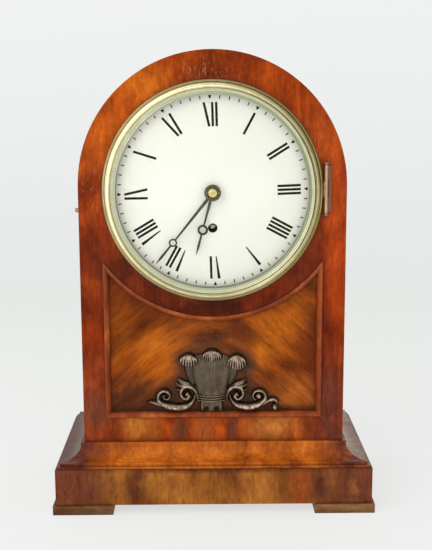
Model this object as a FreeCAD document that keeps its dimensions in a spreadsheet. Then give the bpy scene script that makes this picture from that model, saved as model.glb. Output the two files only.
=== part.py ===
"""Arched bracket clock: cased spring movement with a domed dial, hinged bezel and back door.

Millimetres. +Z up, +Y from the dial towards the back, origin at the middle of the
footprint on the ground. Every size lives in the sheet "Dims" and every sketch,
pad, pocket, revolution and primitive is bound to it. Depths written "d" count
backwards from the front plane of the case body.
"""
import FreeCAD
import Part
import Sketcher
import math
import os
import re

DIMENSIONS = {
    # case body
    "front_plane": -59.75, "back_plane": 90.25, "body_width": 268.0, "springing_rise": 5.0,
    "front_thick": 20.0, "side_thick": 12.0, "fit_gap": 0.2, "rest_gap": 0.05,
    # plinth, its moulding and the feet
    "plinth_top": 47.0, "plinth_out": 27.7, "plinth_thick": 16.0, "floor_thick": 12.0,
    "foot_height": 9.5, "foot_out": 2.8, "foot_reach": 61.5, "foot_width": 25.0,
    "mould_out": 26.0, "mould_edge": 49.4, "mould_step_out": 23.0, "mould_step": 52.5,
    "cove_out": 20.0, "cove_top_out": 3.5, "cove_top": 62.5, "mould_top": 68.0,
    # sunk panel and the bead that frames it
    "panel_half": 111.0, "panel_bottom": 93.5, "panel_arc_rise": 9.0, "panel_arc_radius": 135.9,
    "panel_depth": 4.5, "panel_thick": 6.0, "bead_width": 5.4, "bead_proud": 1.8,
    # dial and its opening
    "dial_height": 327.0, "dial_opening": 102.5, "dial_radius": 101.5, "dial_edge": 3.0,
    "dial_crown": 5.0, "dial_thick": 1.2, "dial_hole": 6.2, "wind_hole": 4.75,
    "dial_foot_radius": 1.5, "dial_foot_out": 66.0, "dial_foot_drop": 38.0,
    # bezel, its glass, hinge and catch
    "bezel_radius": 110.3, "bezel_wall": 107.3, "bezel_bore": 101.6, "bezel_seat": 99.0,
    "bezel_top": 9.8, "glass_radius": 99.8, "glass_thick": 2.0, "glass_seat": 3.3,
    "glass_crown": 20.0, "sight_radius": 96.6, "hinge_out": 112.7, "hinge_front": 4.0,
    "knuckle_radius": 2.25, "hinge_pin": 1.0, "hinge_drop": 21.0, "hinge_long": 47.0,
    "knuckle_long": 15.6, "hinge_leaf": 5.6, "catch_drop": 19.0, "catch_depth": 12.0,
    "fork_out": 103.6, "fork_thick": 2.0, "fork_half": 4.5, "fork_gap": 2.4, "fork_reach": 16.0,
    "button_radius": 2.25, "button_out": 4.6, "rod_radius": 1.5, "bush_radius": 3.2,
    "bush_flange": 4.2, "bush_long": 12.0, "nose_inset": 32.1, "slide_gap": 0.05,
    # movement frame
    "seat_drop": 79.0, "seat_thick": 12.0, "seat_depth": 84.0, "cheek_width": 12.0,
    "cheek_height": 24.0, "plate_front": 21.0, "plate_thick": 3.0, "plate_gap": 52.0,
    "plate_half": 72.0, "plate_high": 154.0, "plate_corner": 16.0, "pillar_low": 10.0,
    "pillar_side": 62.0, "pillar_high": 140.0, "pillar_radius": 5.0, "pillar_pin": 2.5,
    "bolt_radius": 2.0, "bolt_head": 4.0,
    # train: leaves, teeth, modules and where the arbors stand
    "wind_drop": 35.88, "great_teeth": 96, "centre_leaves": 8, "great_module": 0.69,
    "centre_teeth": 84, "third_leaves": 7, "centre_module": 0.55, "third_teeth": 77,
    "scape_leaves": 7, "third_module": 0.5, "third_side": 10.4, "third_rise": 22.756,
    "scape_rise": 41.0, "scape_teeth": 30, "scape_radius": 16.5, "barrel_side": 47.6,
    "barrel_rise": 27.5, "barrel_radius": 20.0, "run_gap": 0.05, "tooth_tip": 1.1,
    "leaf_tip": 0.7, "tooth_root": 1.25, "tooth_foot": 0.82, "tooth_point": 0.36,
    "leaf_root": 1.5, "leaf_half": 0.54,
    "fusee_small": 9.0, "fusee_large": 18.5, "fusee_front": 33.0, "fusee_long": 30.0,
    "great_depth": 63.0, "great_thick": 2.5, "centre_depth": 30.0, "third_depth": 50.0,
    "scape_depth": 36.0, "wheel_thick": 1.6, "wind_square": 2.1, "fusee_arbor": 3.0,
    "centre_arbor": 1.6, "third_arbor": 1.0, "scape_arbor": 0.9, "pivot_radius": 0.6,
    "pallet_arbor": 1.5, "pallet_clear": 0.35,
    # motion work behind the dial
    "motion_module": 0.55, "minute_leaves": 6, "hour_teeth": 72, "cannon_teeth": 36,
    "cannon_depth": 18.0, "cannon_pipe": 2.6, "cannon_bore": 1.65, "bridge_depth": 14.5,
    "bridge_pipe": 4.0, "hour_depth": 12.0, "hour_pipe": 5.0, "post_radius": 0.5,
    # hands
    "minute_angle": 218.4, "minute_reach": 91.7, "minute_ring": 64.0, "minute_ring_out": 4.2,
    "minute_ring_in": 2.7, "minute_crown": 11.2, "minute_sphere": 461.0, "hour_angle": 195.0,
    "hour_reach": 64.8, "hour_ring": 38.6, "hour_ring_out": 5.25, "hour_ring_in": 3.1,
    "hour_crown": 8.8, "hour_sphere": 648.0, "hand_thick": 0.9, "collet_radius": 8.25,
    "collet_dome": 5.75,
    # pendulum and its cock
    "cock_depth": 85.0, "cock_thick": 3.0, "cock_half": 16.0, "rod_depth": 90.5,
    "pendulum_long": 205.0, "bob_radius": 22.5, "bob_half": 6.0, "pendulum_rod": 1.5,
    "rod_block": 2.2, "nut_radius": 4.5, "nut_high": 4.0, "spring_half": 0.1, "slit_half": 0.6,
    # back of the case
    "back_thick": 18.0, "door_half": 98.0, "door_bottom": 85.0, "door_thick": 10.0,
    "door_stile": 19.0, "door_gap": 0.8, "door_rebate": 8.0, "pane_thick": 2.0,
    "door_knuckle": 2.0, "door_leaf_high": 34.0, "turn_height": 250.0,
    # applied mount on the panel
    "mount_height": 134.0, "mount_low": 2.4, "mount_mid": 4.4, "mount_high": 6.6,
}

document = FreeCAD.newDocument("BracketClock")
sheet = document.addObject("Spreadsheet::Sheet", "Dims")
for row, (alias, number) in enumerate(DIMENSIONS.items(), start=1):
    sheet.set("A%d" % row, alias)
    sheet.set("B%d" % row, str(number))
    sheet.setAlias("B%d" % row, alias)
document.recompute()

# heights that follow the dial
LEVELS = {
    "arch_springing": "dial_height + springing_rise",
    "panel_arc_height": "dial_height + panel_arc_rise",
    "hinge_low": "dial_height - hinge_drop",
    "hinge_high": "hinge_low + hinge_long",
    "catch_height": "dial_height - catch_drop",
    "seat_top": "dial_height - seat_drop",
}
WORD = re.compile(r"\b([a-z]+(?:_[a-z]+)+)\b")
PLANES = {"x": "YZ_Plane", "y": "XZ_Plane", "z": "XY_Plane"}
NODES = {}


def bind(text):
    """Write a size formula with every alias pointing at the sheet."""
    def swap(match):
        word = match.group(1)
        return "(%s)" % bind(LEVELS[word]) if word in LEVELS else "Dims." + word

    return WORD.sub(swap, str(text))


def value(text):
    """Number that a size formula gives now."""
    return float(sheet.evalExpression(bind(text)))


def back(depth):
    """Y of a depth counted backwards from the front plane."""
    return "(front_plane + (%s))" % depth


def point(vertex):
    return FreeCAD.Vector(value(vertex[0]), value(vertex[1]), 0)


def arc(start, end, middle, turn):
    """Arc between two points about a middle; "ccw" or "cw" in the sketch."""
    first, last = (start, end) if turn == "ccw" else (end, start)
    one, two = first - middle, last - middle
    circle = Part.Circle(middle, FreeCAD.Vector(0, 0, 1), one.Length)
    angle = math.atan2(one.y, one.x)
    reach = math.atan2(two.y, two.x)
    if reach <= angle:
        reach += 2 * math.pi
    return Part.ArcOfCircle(circle, angle, reach)


def hold(sketch, geometry, place, vertex):
    """Tie one sketch point to its two size formulas."""
    for kind, text in zip(("DistanceX", "DistanceY"), vertex):
        index = sketch.addConstraint(
            Sketcher.Constraint(kind, -1, 1, geometry, place, value(text)))
        sketch.setExpression("Constraints[%d]" % index, bind(text))


def draw_circle(sketch, middle_x, middle_y, radius):
    middle = point((middle_x, middle_y))
    circle = Part.Circle(middle, FreeCAD.Vector(0, 0, 1), value(radius))
    geometry = sketch.addGeometry(circle)
    hold(sketch, geometry, 3, (middle_x, middle_y))
    index = sketch.addConstraint(Sketcher.Constraint("Radius", geometry, value(radius)))
    sketch.setExpression("Constraints[%d]" % index, bind(radius))


def draw_loop(sketch, loop):
    """Closed outline; a vertex of five entries starts an arc (middle x, y, turn)."""
    points = [point(vertex) for vertex in loop]
    ends = []
    for index, vertex in enumerate(loop):
        start = points[index]
        end = points[(index + 1) % len(loop)]
        if len(vertex) == 2:
            geometry = sketch.addGeometry(Part.LineSegment(start, end))
            ends.append((geometry, 1, 2))
            continue
        middle = point(vertex[2:4])
        geometry = sketch.addGeometry(arc(start, end, middle, vertex[4]))
        ends.append((geometry, 1, 2) if vertex[4] == "ccw" else (geometry, 2, 1))
        chord = end - start
        axis, text = (("DistanceY", vertex[3]) if abs(chord.x) > abs(chord.y)
                      else ("DistanceX", vertex[2]))
        fixed = sketch.addConstraint(
            Sketcher.Constraint(axis, -1, 1, geometry, 3, value(text)))
        sketch.setExpression("Constraints[%d]" % fixed, bind(text))
    for index, vertex in enumerate(loop):
        here = ends[index]
        before = ends[index - 1]
        sketch.addConstraint(
            Sketcher.Constraint("Coincident", before[0], before[2], here[0], here[1]))
        hold(sketch, here[0], here[1], vertex[:2])


def draw(body, direction, start, loops, origin=("0", "0")):
    """Sketch on an origin plane of the body, moved along the plane's direction."""
    sketch = body.newObject("Sketcher::SketchObject", "Sketch")
    plane = [item for item in body.Origin.OriginFeatures if item.Role == PLANES[direction]][0]
    sketch.AttachmentSupport = [(plane, "")]
    sketch.MapMode = "FlatFace"
    sign = "-" if direction == "y" else ""
    sketch.setExpression("AttachmentOffset.Base.z", bind("%s(%s)" % (sign, start)))
    sketch.setExpression("AttachmentOffset.Base.x", bind(origin[0]))
    sketch.setExpression("AttachmentOffset.Base.y", bind(origin[1]))
    for loop in loops:
        if loop[0] == "circle":
            draw_circle(sketch, *loop[1:])
        else:
            draw_loop(sketch, loop)
    return sketch


def new_body(label):
    body = document.addObject("PartDesign::Body", "Body")
    body.Label = label
    return body


def check_change(body, before, grows):
    document.recompute()
    change = body.Shape.Volume - before
    if (change <= 1e-6) if grows else (change >= -1e-6):
        raise ValueError("feature of %s went the wrong way" % body.Label)


def volume(body):
    return 0.0 if body.Shape.isNull() else body.Shape.Volume


def add(body, direction, start, length, loops, origin=("0", "0")):
    """Pad from a start coordinate along +direction."""
    before = volume(body)
    sketch = draw(body, direction, start, loops, origin)
    pad = body.newObject("PartDesign::Pad", "Pad")
    pad.Profile = sketch
    pad.setExpression("Length", bind(length))
    pad.Reversed = direction == "y"
    body.Tip = pad
    check_change(body, before, True)
    return pad


def prism(label, direction, start, length, loops, origin=("0", "0")):
    body = new_body(label)
    add(body, direction, start, length, loops, origin)
    return body


def cut(body, direction, start, length, loops, origin=("0", "0")):
    """Pocket from a start coordinate along +direction."""
    before = volume(body)
    sketch = draw(body, direction, start, loops, origin)
    pocket = body.newObject("PartDesign::Pocket", "Pocket")
    pocket.Profile = sketch
    pocket.setExpression("Length", bind(length))
    pocket.Reversed = direction != "y"
    body.Tip = pocket
    check_change(body, before, False)
    return pocket


def repeat(body, feature, count):
    """Polar pattern of a feature about its own sketch normal."""
    pattern = body.newObject("PartDesign::PolarPattern", "PolarPattern")
    pattern.Originals = [feature]
    pattern.Axis = (feature.Profile[0], ["N_Axis"])
    pattern.Angle = 360
    pattern.Occurrences = int(value(count))
    pattern.setExpression("Occurrences", bind(count))
    body.Tip = pattern
    document.recompute()
    return pattern


def turn(body, axis, at, loop, grows=True):
    """Revolution (or groove) of (radius, along) points about an axis through "at"."""
    before = volume(body)
    plane = {"x": "z", "y": "z", "z": "y"}[axis]
    if axis == "x":
        loop = [(v[1], v[0]) + ((v[3], v[2], v[4]) if len(v) == 5 else ()) for v in loop]
        start, origin = at[1], ("0", at[0])
    elif axis == "y":
        start, origin = at[1], (at[0], "0")
    else:
        start, origin = at[1], (at[0], "0")
    sketch = draw(body, plane, start, [loop], origin)
    kind = "PartDesign::Revolution" if grows else "PartDesign::Groove"
    feature = body.newObject(kind, kind.split("::")[1])
    feature.Profile = sketch
    feature.ReferenceAxis = (sketch, ["H_Axis" if axis == "x" else "V_Axis"])
    feature.Angle = 360
    body.Tip = feature
    check_change(body, before, grows)
    return feature


def turned(label, axis, at, loop):
    """Turned piece; "at" is (y, z) for x, (x, z) for y and (x, y) for z."""
    body = new_body(label)
    turn(body, axis, at, loop)
    return body


def mirrored(label, source):
    mirror = document.addObject("Part::Mirroring", "Mirror")
    mirror.Source = source
    mirror.Normal = FreeCAD.Vector(1, 0, 0)
    mirror.Label = label
    document.recompute()
    return mirror


def together(label, pieces):
    group = document.addObject("Part::Compound", "Compound")
    group.Links = pieces
    group.Label = label
    document.recompute()
    return group


def joined(label, pieces):
    fusion = document.addObject("Part::MultiFuse", "Fusion")
    fusion.Shapes = pieces
    fusion.Label = label
    document.recompute()
    return fusion


def keep(label, item):
    """Name the piece for its file."""
    item.Label = label
    NODES[label] = item
    return item


def box(left, right, low, high):
    return [(left, low), (right, low), (right, high), (left, high)]


def stick(*steps):
    """Profile of a turned rod: (along, radius) steps from one end to the other."""
    loop = [("0", steps[0][0])]
    for index, (along, radius) in enumerate(steps[:-1]):
        loop.append((radius, along))
        loop.append((radius, steps[index + 1][0]))
    loop.append(("0", steps[-1][0]))
    return loop


# ---------------------------------------------------------------- outlines
def arched(half, low, gap="0"):
    """Square foot and half-round head about the springing of the case arch."""
    side = "(%s - (%s))" % (half, gap)
    return [("-%s" % side, "%s + (%s)" % (low, gap)), (side, "%s + (%s)" % (low, gap)),
            (side, "arch_springing", "0", "arch_springing", "ccw"),
            ("-%s" % side, "arch_springing")]


def panel_outline(gap):
    """Sunk panel: square foot, head hollowed by the arc that runs under the dial."""
    side = "(panel_half - (%s))" % gap
    radius = "(panel_arc_radius + (%s))" % gap
    head = "panel_arc_height - sqrt(%s * %s - %s * %s)" % (radius, radius, side, side)
    low = "panel_bottom + (%s)" % gap
    return [("-%s" % side, low), (side, low),
            (side, head, "0", "panel_arc_height", "cw"), ("-%s" % side, head)]


# ---------------------------------------------------------------- case
HALF = "(body_width / 2)"
INNER = "(body_width / 2 - side_thick)"
BEHIND = back("front_thick")


def case_front():
    board = prism("front_board", "y", "front_plane", "front_thick",
                  [arched(HALF, "plinth_top"),
                   ("circle", "0", "dial_height", "dial_opening"), panel_outline("0")])
    cut(board, "y", "front_plane", "fork_reach + 2",
        [box("-fork_out - 1.6", "-dial_opening + 8", "catch_height - fork_half - 1.5",
             "catch_height + fork_half + 1.5")])
    cut(board, "x", "-(%s)" % HALF, "32",
        [("circle", back("catch_depth"), "catch_height", "rod_radius + 0.5")])
    cut(board, "x", "-(%s)" % HALF, "bush_long",
        [("circle", back("catch_depth"), "catch_height", "bush_radius + slide_gap")])
    keep("front_board", board)


def case_sides():
    side = prism("side_left", "x", "-(%s)" % HALF, "side_thick",
                 [box(BEHIND, "back_plane", "plinth_top", "arch_springing")])
    keep("case_sides", together("case_sides", [side, mirrored("side_right", side)]))
    top = prism("arch_top", "y", BEHIND, "back_plane - %s" % BEHIND,
                [[(HALF, "arch_springing", "0", "arch_springing", "ccw"),
                  ("-" + HALF, "arch_springing"), ("-" + INNER, "arch_springing", "0",
                                                   "arch_springing", "cw"),
                  (INNER, "arch_springing")]])
    keep("arch_top", top)
    frame = prism("back_frame", "y", "back_plane - back_thick", "back_thick",
                  [arched(INNER, "plinth_top"), arched("door_half", "door_bottom")])
    cut(frame, "y", "back_plane - back_thick + door_thick", "back_thick - door_thick",
        [arched("door_half + door_rebate", "door_bottom - door_rebate")])
    keep("back_frame", frame)


def plinth():
    out = "(body_width / 2 + plinth_out)"
    inside = "(body_width / 2 + plinth_out - plinth_thick)"
    face = "(front_plane - plinth_out)"
    rear = "(front_plane - plinth_out + plinth_thick)"
    high = "plinth_top - foot_height"
    front = prism("plinth_front", "z", "foot_height", high,
                  [[("-" + out, face), (out, face), (inside, rear), ("-" + inside, rear)]])
    keep("plinth_front", front)
    left = prism("plinth_left", "z", "foot_height", high,
                 [[("-" + out, face), ("-" + inside, rear), ("-" + inside, "back_plane"),
                   ("-" + out, "back_plane")]])
    keep("plinth_sides", together("plinth_sides", [left, mirrored("plinth_right", left)]))
    rail = prism("plinth_back", "z", "foot_height", high,
                 [box("-" + inside, inside, "back_plane - plinth_thick", "back_plane")])
    keep("plinth_back", rail)
    floor = prism("bottom_board", "z", "plinth_top - floor_thick", "floor_thick",
                  [box("-" + inside, inside, rear, "back_plane - plinth_thick")])
    keep("bottom_board", floor)


def moulding_section(place):
    """Profile of the plinth moulding; place(out) turns a projection into a coordinate."""
    radius = "((cove_out - cove_top_out) * (cove_out - cove_top_out) / (cove_top - mould_step)"
    radius += " + (cove_top - mould_step)) / 2"
    centre = "mould_step + %s" % radius
    turn_way = "cw" if value(place("1")) < value(place("0")) else "ccw"
    return [(place("0"), "plinth_top"), (place("mould_out"), "plinth_top"),
            (place("mould_out"), "mould_edge"), (place("mould_step_out"), "mould_edge"),
            (place("mould_step_out"), "mould_step"),
            (place("cove_out"), "mould_step", place("cove_out"), centre,
             "ccw" if turn_way == "cw" else "cw"),
            (place("cove_top_out"), "cove_top"), (place("cove_top_out"), "mould_top"),
            (place("0"), "mould_top")]


def plinth_mouldings():
    reach = "(body_width / 2 + mould_out)"
    front = prism("moulding_front", "x", "-" + reach, "2 * %s" % reach,
                  [moulding_section(lambda out: "(front_plane - (%s))" % out)])
    for sign in ("-", ""):
        corner = [("%s(%s + 1)" % (sign, reach), "front_plane - mould_out - 1"),
                  ("%s(%s - 1)" % (sign, HALF), "front_plane + 1"),
                  ("%s(%s + 1)" % (sign, reach), "front_plane + 1")]
        cut(front, "z", "plinth_top - 1", "30", [corner])
    keep("moulding_front", front)
    left = prism("moulding_left", "y", "front_plane - mould_out",
                 "back_plane - front_plane + mould_out",
                 [moulding_section(lambda out: "(-body_width / 2 - (%s))" % out)])
    cut(left, "z", "plinth_top - 1", "30",
        [[("-(%s + 1)" % reach, "front_plane - mould_out - 1"),
          ("-(%s - 1)" % HALF, "front_plane - mould_out - 1"),
          ("-(%s - 1)" % HALF, "front_plane + 1")]])
    keep("moulding_sides", together("moulding_sides", [left, mirrored("moulding_right", left)]))


def foot(label, rear):
    """L-shaped pad under one corner of the plinth."""
    out = "(-body_width / 2 - plinth_out - foot_out)"
    if rear:
        edge, way = "back_plane", "-"
    else:
        edge, way = "(front_plane - plinth_out - foot_out)", "+"
    loop = [(out, edge), ("%s + foot_reach" % out, edge),
            ("%s + foot_reach" % out, "%s %s foot_width" % (edge, way)),
            ("%s + foot_width" % out, "%s %s foot_width" % (edge, way)),
            ("%s + foot_width" % out, "%s %s foot_reach" % (edge, way)),
            (out, "%s %s foot_reach" % (edge, way))]
    left = prism(label, "z", "0", "foot_height", [loop])
    return [left, mirrored(label + "_two", left)]


# ---------------------------------------------------------------- sunk panel
def bead_section(place):
    """Ovolo section from the panel's edge inwards; place(in, depth) gives a point."""
    return [place("0", "panel_depth"), place("0", "-bead_proud + 0.6"),
            place("0.6", "-bead_proud"), place("1.4", "-bead_proud"),
            place("3.2", "-bead_proud + 1.0"), place("4.6", "0.9"),
            place("bead_width", "2.6"), place("bead_width", "panel_depth")]


def panel():
    keep("front_panel", prism("front_panel", "y", back("panel_depth"), "panel_thick",
                              [panel_outline("fit_gap")]))
    inner = "(panel_half - bead_width)"
    lower = "(panel_arc_radius + bead_width)"
    tip = "(panel_arc_height - sqrt(panel_arc_radius * panel_arc_radius - panel_half * panel_half))"
    heel = "(panel_arc_height - sqrt(%s * %s - %s * %s))" % (lower, lower, inner, inner)
    ring = turned("bead_ring", "y", ("0", "panel_arc_height"),
                  bead_section(lambda run, depth: ("panel_arc_radius + (%s)" % run, back(depth))))
    wedge = prism("bead_wedge", "y", back("-6"), "12",
                  [[("-" + inner, heel), ("-70", "160"), ("70", "160"), (inner, heel),
                    ("panel_half", tip), ("0", "panel_arc_height"), ("-panel_half", tip)]])
    arc_piece = document.addObject("Part::Common", "Common")
    arc_piece.Base = ring
    arc_piece.Tool = wedge
    document.recompute()
    side = prism("bead_side", "z", "panel_bottom", "%s - panel_bottom" % tip,
                 [bead_section(lambda run, depth: ("panel_half - (%s)" % run, back(depth)))])
    cut(side, "y", back("-6"), "12",
        [[("%s - 2" % inner, heel), (inner, heel), ("panel_half", tip),
          ("panel_half", "%s + 2" % tip), ("%s - 2" % inner, "%s + 2" % tip)]])
    mitre = "(panel_bottom + bead_width)"
    cut(side, "y", back("-6"), "12",
        [[("panel_half", "panel_bottom"), (inner, mitre), ("%s - 2" % inner, mitre),
          ("%s - 2" % inner, "panel_bottom - 2"), ("panel_half", "panel_bottom - 2")]])
    low = prism("bead_low", "x", "-panel_half", "2 * panel_half",
                [bead_section(lambda run, depth: (back(depth), "panel_bottom + (%s)" % run))])
    for sign in ("-", ""):
        cut(low, "y", back("-6"), "12",
            [[(sign + "panel_half", "panel_bottom"), (sign + inner, mitre),
              (sign + inner, "%s + 1" % mitre), ("%s(panel_half + 1)" % sign, "%s + 1" % mitre),
              ("%s(panel_half + 1)" % sign, "panel_bottom")]])
    keep("panel_bead", together("panel_bead", [side, mirrored("bead_side_two", side), low,
                                               arc_piece]))


def ring_piece(middle_x, middle_z, outer, inner, first, last):
    """Part of a ring from one angle to another, counter-clockwise from +X."""
    spot = lambda radius, angle: ("%s + %s * cos(%s)" % (middle_x, radius, angle),
                                  "%s + %s * sin(%s)" % (middle_z, radius, angle))
    return [spot(outer, first) + (middle_x, middle_z, "ccw"), spot(outer, last),
            spot(inner, last) + (middle_x, middle_z, "cw"), spot(inner, first)]


def mount():
    """Applied crest: three bent plumes over a reeded band, with scrolls either side."""
    face = "panel_depth"
    mid = "mount_height"

    def layer(height):
        return back("%s - %s" % (face, height)), height

    start, length = layer("mount_mid")
    crest = prism("mount", "y", start, length,
                  [[("-13", mid + " - 33"), ("13", mid + " - 33"), ("15", mid + " - 14"),
                    ("18", mid + " - 10"), ("19", mid + " + 6"), ("12", mid + " + 22"),
                    ("-12", mid + " + 22"), ("-19", mid + " + 6"), ("-18", mid + " - 10"),
                    ("-15", mid + " - 14")]])
    add(crest, "y", start, length,
        [box("-9", "9", mid + " - 34.5", mid + " - 32")])
    high, thick = layer("mount_high")
    for side_x, top in (("0", "27.3"), ("-20", "18.5"), ("20", "18.5")):
        add(crest, "y", high, thick, [("circle", side_x, "%s + %s" % (mid, top), "6.3")])
    add(crest, "y", high, thick, [box("-19.5", "19.5", mid + " - 19.5", mid + " - 14.5")])
    low, thin = layer("mount_low")
    for sign in (-1, 1):
        first = lambda angle: "%g" % (angle if sign > 0 else 180 - angle)
        for spec in ((27, -9, 13.5, 8, -150, 60), (44, -6, 12, 7, 20, 250),
                     (54, -18, 9, 3.5, -60, 200)):
            middle = "%g" % (sign * spec[0])
            ends = [first(spec[4]), first(spec[5])]
            if sign < 0:
                ends.reverse()
            add(crest, "y", low, thin,
                [ring_piece(middle, "%s + (%g)" % (mid, spec[1]), "%g" % spec[2],
                            "%g" % spec[3], ends[0], ends[1])])
        add(crest, "y", low, thin,
            [[("%g" % (sign * a), "%s + (%g)" % (mid, b)) for a, b in
              ((58, -14), (64, -9), (70, -6), (67, 3), (62, 1))]])
    keep("crest_mount", crest)


# ---------------------------------------------------------------- bezel
def bezel():
    at = ("0", "dial_height")
    ring = turned("bezel_ring", "y", at,
                  [("bezel_seat", back("-glass_seat")), ("bezel_seat", back("-0.3")),
                   ("bezel_radius", back("-0.3")), ("bezel_radius", back("-1.6")),
                   ("bezel_wall", back("-2.2")),
                   ("bezel_wall", back("-bezel_top + (bezel_wall - bezel_bore) / 2"),
                    "(bezel_wall + bezel_bore) / 2",
                    back("-bezel_top + (bezel_wall - bezel_bore) / 2"), "ccw"),
                   ("bezel_bore", back("-bezel_top + (bezel_wall - bezel_bore) / 2")),
                   ("bezel_bore", back("-glass_seat"))])
    keep("bezel_ring", ring)
    dome(ring)
    sight = turned("sight_ring", "y", at,
                   [("sight_radius", back("-6.4")), ("glass_radius", back("-glass_seat - 2.1")),
                    ("bezel_bore - 0.02", back("-glass_seat - 2.1")),
                    ("bezel_bore - 0.02", back("-8.6")), ("bezel_bore - 1.2", back("-8.9")),
                    ("bezel_bore - 3", back("-7.6")), ("sight_radius", back("-7.0"))])
    keep("sight_ring", sight)


def dome(ring):
    """Glass: two spheres through the rim and the crown."""
    rise = "(glass_crown - glass_seat - glass_thick)"
    sphere = "((glass_radius * glass_radius + %s * %s) / (2 * %s))" % (rise, rise, rise)
    outer = "-glass_crown + %s" % sphere
    inner = "-glass_crown + glass_thick + %s" % sphere
    glass = turned("bezel_glass", "y", ("0", "dial_height"),
                   [("0", back("-glass_crown + glass_thick"), "0", back(inner), "ccw"),
                    ("glass_radius", back("-glass_seat")),
                    ("glass_radius", back("-glass_seat - glass_thick"), "0", back(outer), "cw"),
                    ("0", back("-glass_crown"))])
    keep("bezel_glass", glass)


def knuckle(label, low, high, leaf):
    """Barrel section of the bezel hinge with the strap that carries it."""
    axis_y = back("-hinge_front")
    body = prism(label, "z", low, "(%s) - (%s)" % (high, low),
                 [("circle", "hinge_out", axis_y, "knuckle_radius")])
    add(body, "z", low, "(%s) - (%s)" % (high, low), [leaf])
    cut(body, "z", low, "(%s) - (%s)" % (high, low),
        [("circle", "hinge_out", axis_y, "hinge_pin + slide_gap")])
    return body


def bezel_hinge():
    low = "hinge_low + knuckle_long + 0.1"
    high = "hinge_high - knuckle_long - 0.1"
    axis_y = back("-hinge_front")
    tab = knuckle("bezel_tab", low, high,
                  box("bezel_radius + 0.05", "hinge_out", "%s - 1.2" % axis_y, "%s + 1.6" % axis_y))
    keep("bezel_tab", tab)
    strap = [("hinge_out - 0.4", axis_y), ("hinge_out + 1.2", axis_y),
             ("hinge_out + 1.2", back("-1.2")), ("hinge_out + hinge_leaf", back("-1.2")),
             ("hinge_out + hinge_leaf", "front_plane"), ("hinge_out - 0.4", "front_plane")]
    leaves = [knuckle("leaf_low", "hinge_low", "hinge_low + knuckle_long", strap),
              knuckle("leaf_high", "hinge_high - knuckle_long", "hinge_high", strap)]
    link = prism("leaf_link", "z", "hinge_low + knuckle_long",
                 "hinge_high - hinge_low - 2 * knuckle_long",
                 [box("hinge_out + 3.2", "hinge_out + hinge_leaf", back("-1.2"), "front_plane")])
    pin = turned("bezel_hinge_pin", "z", ("hinge_out", axis_y),
                 stick(("hinge_low - 0.8", "hinge_pin + 0.6"), ("hinge_low - 0.05", "hinge_pin"),
                       ("hinge_high + 0.05", "hinge_pin + 0.6"), ("hinge_high + 0.8", "0")))
    keep("bezel_hinge", together("bezel_hinge", [joined("bezel_hinge_leaf", leaves + [link]), pin]))


def bezel_catch():
    """Forked tongue behind the bezel that closes over the nose of the push rod."""
    tongue = prism("bezel_fork", "y", back("-0.25"), "fork_reach + 0.25",
                   [box("-fork_out", "-fork_out + fork_thick", "catch_height - fork_half",
                        "catch_height + fork_half")])
    cut(tongue, "x", "-fork_out - 1", "fork_thick + 2",
        [[(back("catch_depth - fork_gap - 1"), "catch_height - fork_gap"),
          (back("fork_reach + 1"), "catch_height - fork_gap"),
          (back("fork_reach + 1"), "catch_height + fork_gap"),
          (back("catch_depth - fork_gap - 1"), "catch_height + fork_gap")]])
    keep("bezel_fork", tongue)
    at = (back("catch_depth"), "catch_height")
    button = turned("push_button", "x", at,
                    stick(("-%s - button_out" % HALF, "button_radius - 0.7"),
                          ("-%s - button_out + 0.7" % HALF, "button_radius"),
                          ("-%s + 8" % HALF, "rod_radius"), ("-%s + nose_inset - 0.8" % HALF,
                                                             "rod_radius - 0.5"),
                          ("-%s + nose_inset" % HALF, "0")))
    keep("push_button", button)
    bush = turned("button_bush", "x", at,
                  [("button_radius + slide_gap", "-%s - 1" % HALF), ("bush_flange", "-%s - 1" % HALF),
                   ("bush_flange", "-%s" % HALF), ("bush_radius", "-%s" % HALF),
                   ("bush_radius", "-%s + bush_long" % HALF),
                   ("button_radius + slide_gap", "-%s + bush_long" % HALF)])
    keep("button_bush", bush)


# ---------------------------------------------------------------- dial
def dial():
    rise = "(dial_crown + dial_edge)"
    sphere = "((dial_radius * dial_radius + %s * %s) / (2 * %s))" % (rise, rise, rise)
    front = "-dial_crown + %s" % sphere
    plate = turned("dial_plate", "y", ("0", "dial_height"),
                   [("0", back("-dial_crown + dial_thick"), "0",
                     back("%s + dial_thick" % front), "ccw"),
                    ("dial_radius", back("dial_edge + dial_thick")),
                    ("dial_radius", back("dial_edge"), "0", back(front), "cw"),
                    ("0", back("-dial_crown"))])
    cut(plate, "y", back("-10"), "20", [("circle", "0", "dial_height", "dial_hole")])
    cut(plate, "y", back("-10"), "20",
        [("circle", "0", "dial_height - wind_drop", "wind_hole")])
    keep("dial_plate", plate)
    feet = []
    for side_x, side_z in dial_foot_places():
        feet.append(turned("dial_foot", "y", (side_x, side_z),
                           stick(("front_plane + 2.6", "dial_foot_radius + 1.5"),
                                 ("front_plane + 5.5", "dial_foot_radius"),
                                 (back("plate_front + plate_thick + 1"), "0"))))
    keep("dial_feet", together("dial_feet", feet))


def dial_foot_places():
    return [("-dial_foot_out", "dial_height - dial_foot_drop"),
            ("dial_foot_out", "dial_height - dial_foot_drop"),
            ("dial_foot_out", "dial_height + dial_foot_drop")]


# ---------------------------------------------------------------- hands
def along(run, side, angle):
    """Point of a hand: distance from the centre and sideways, at a clock angle."""
    return ("(%s) * sin(%s) + (%s) * cos(%s)" % (run, angle, side, angle),
            "dial_height + (%s) * cos(%s) - (%s) * sin(%s)" % (run, angle, side, angle))


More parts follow.
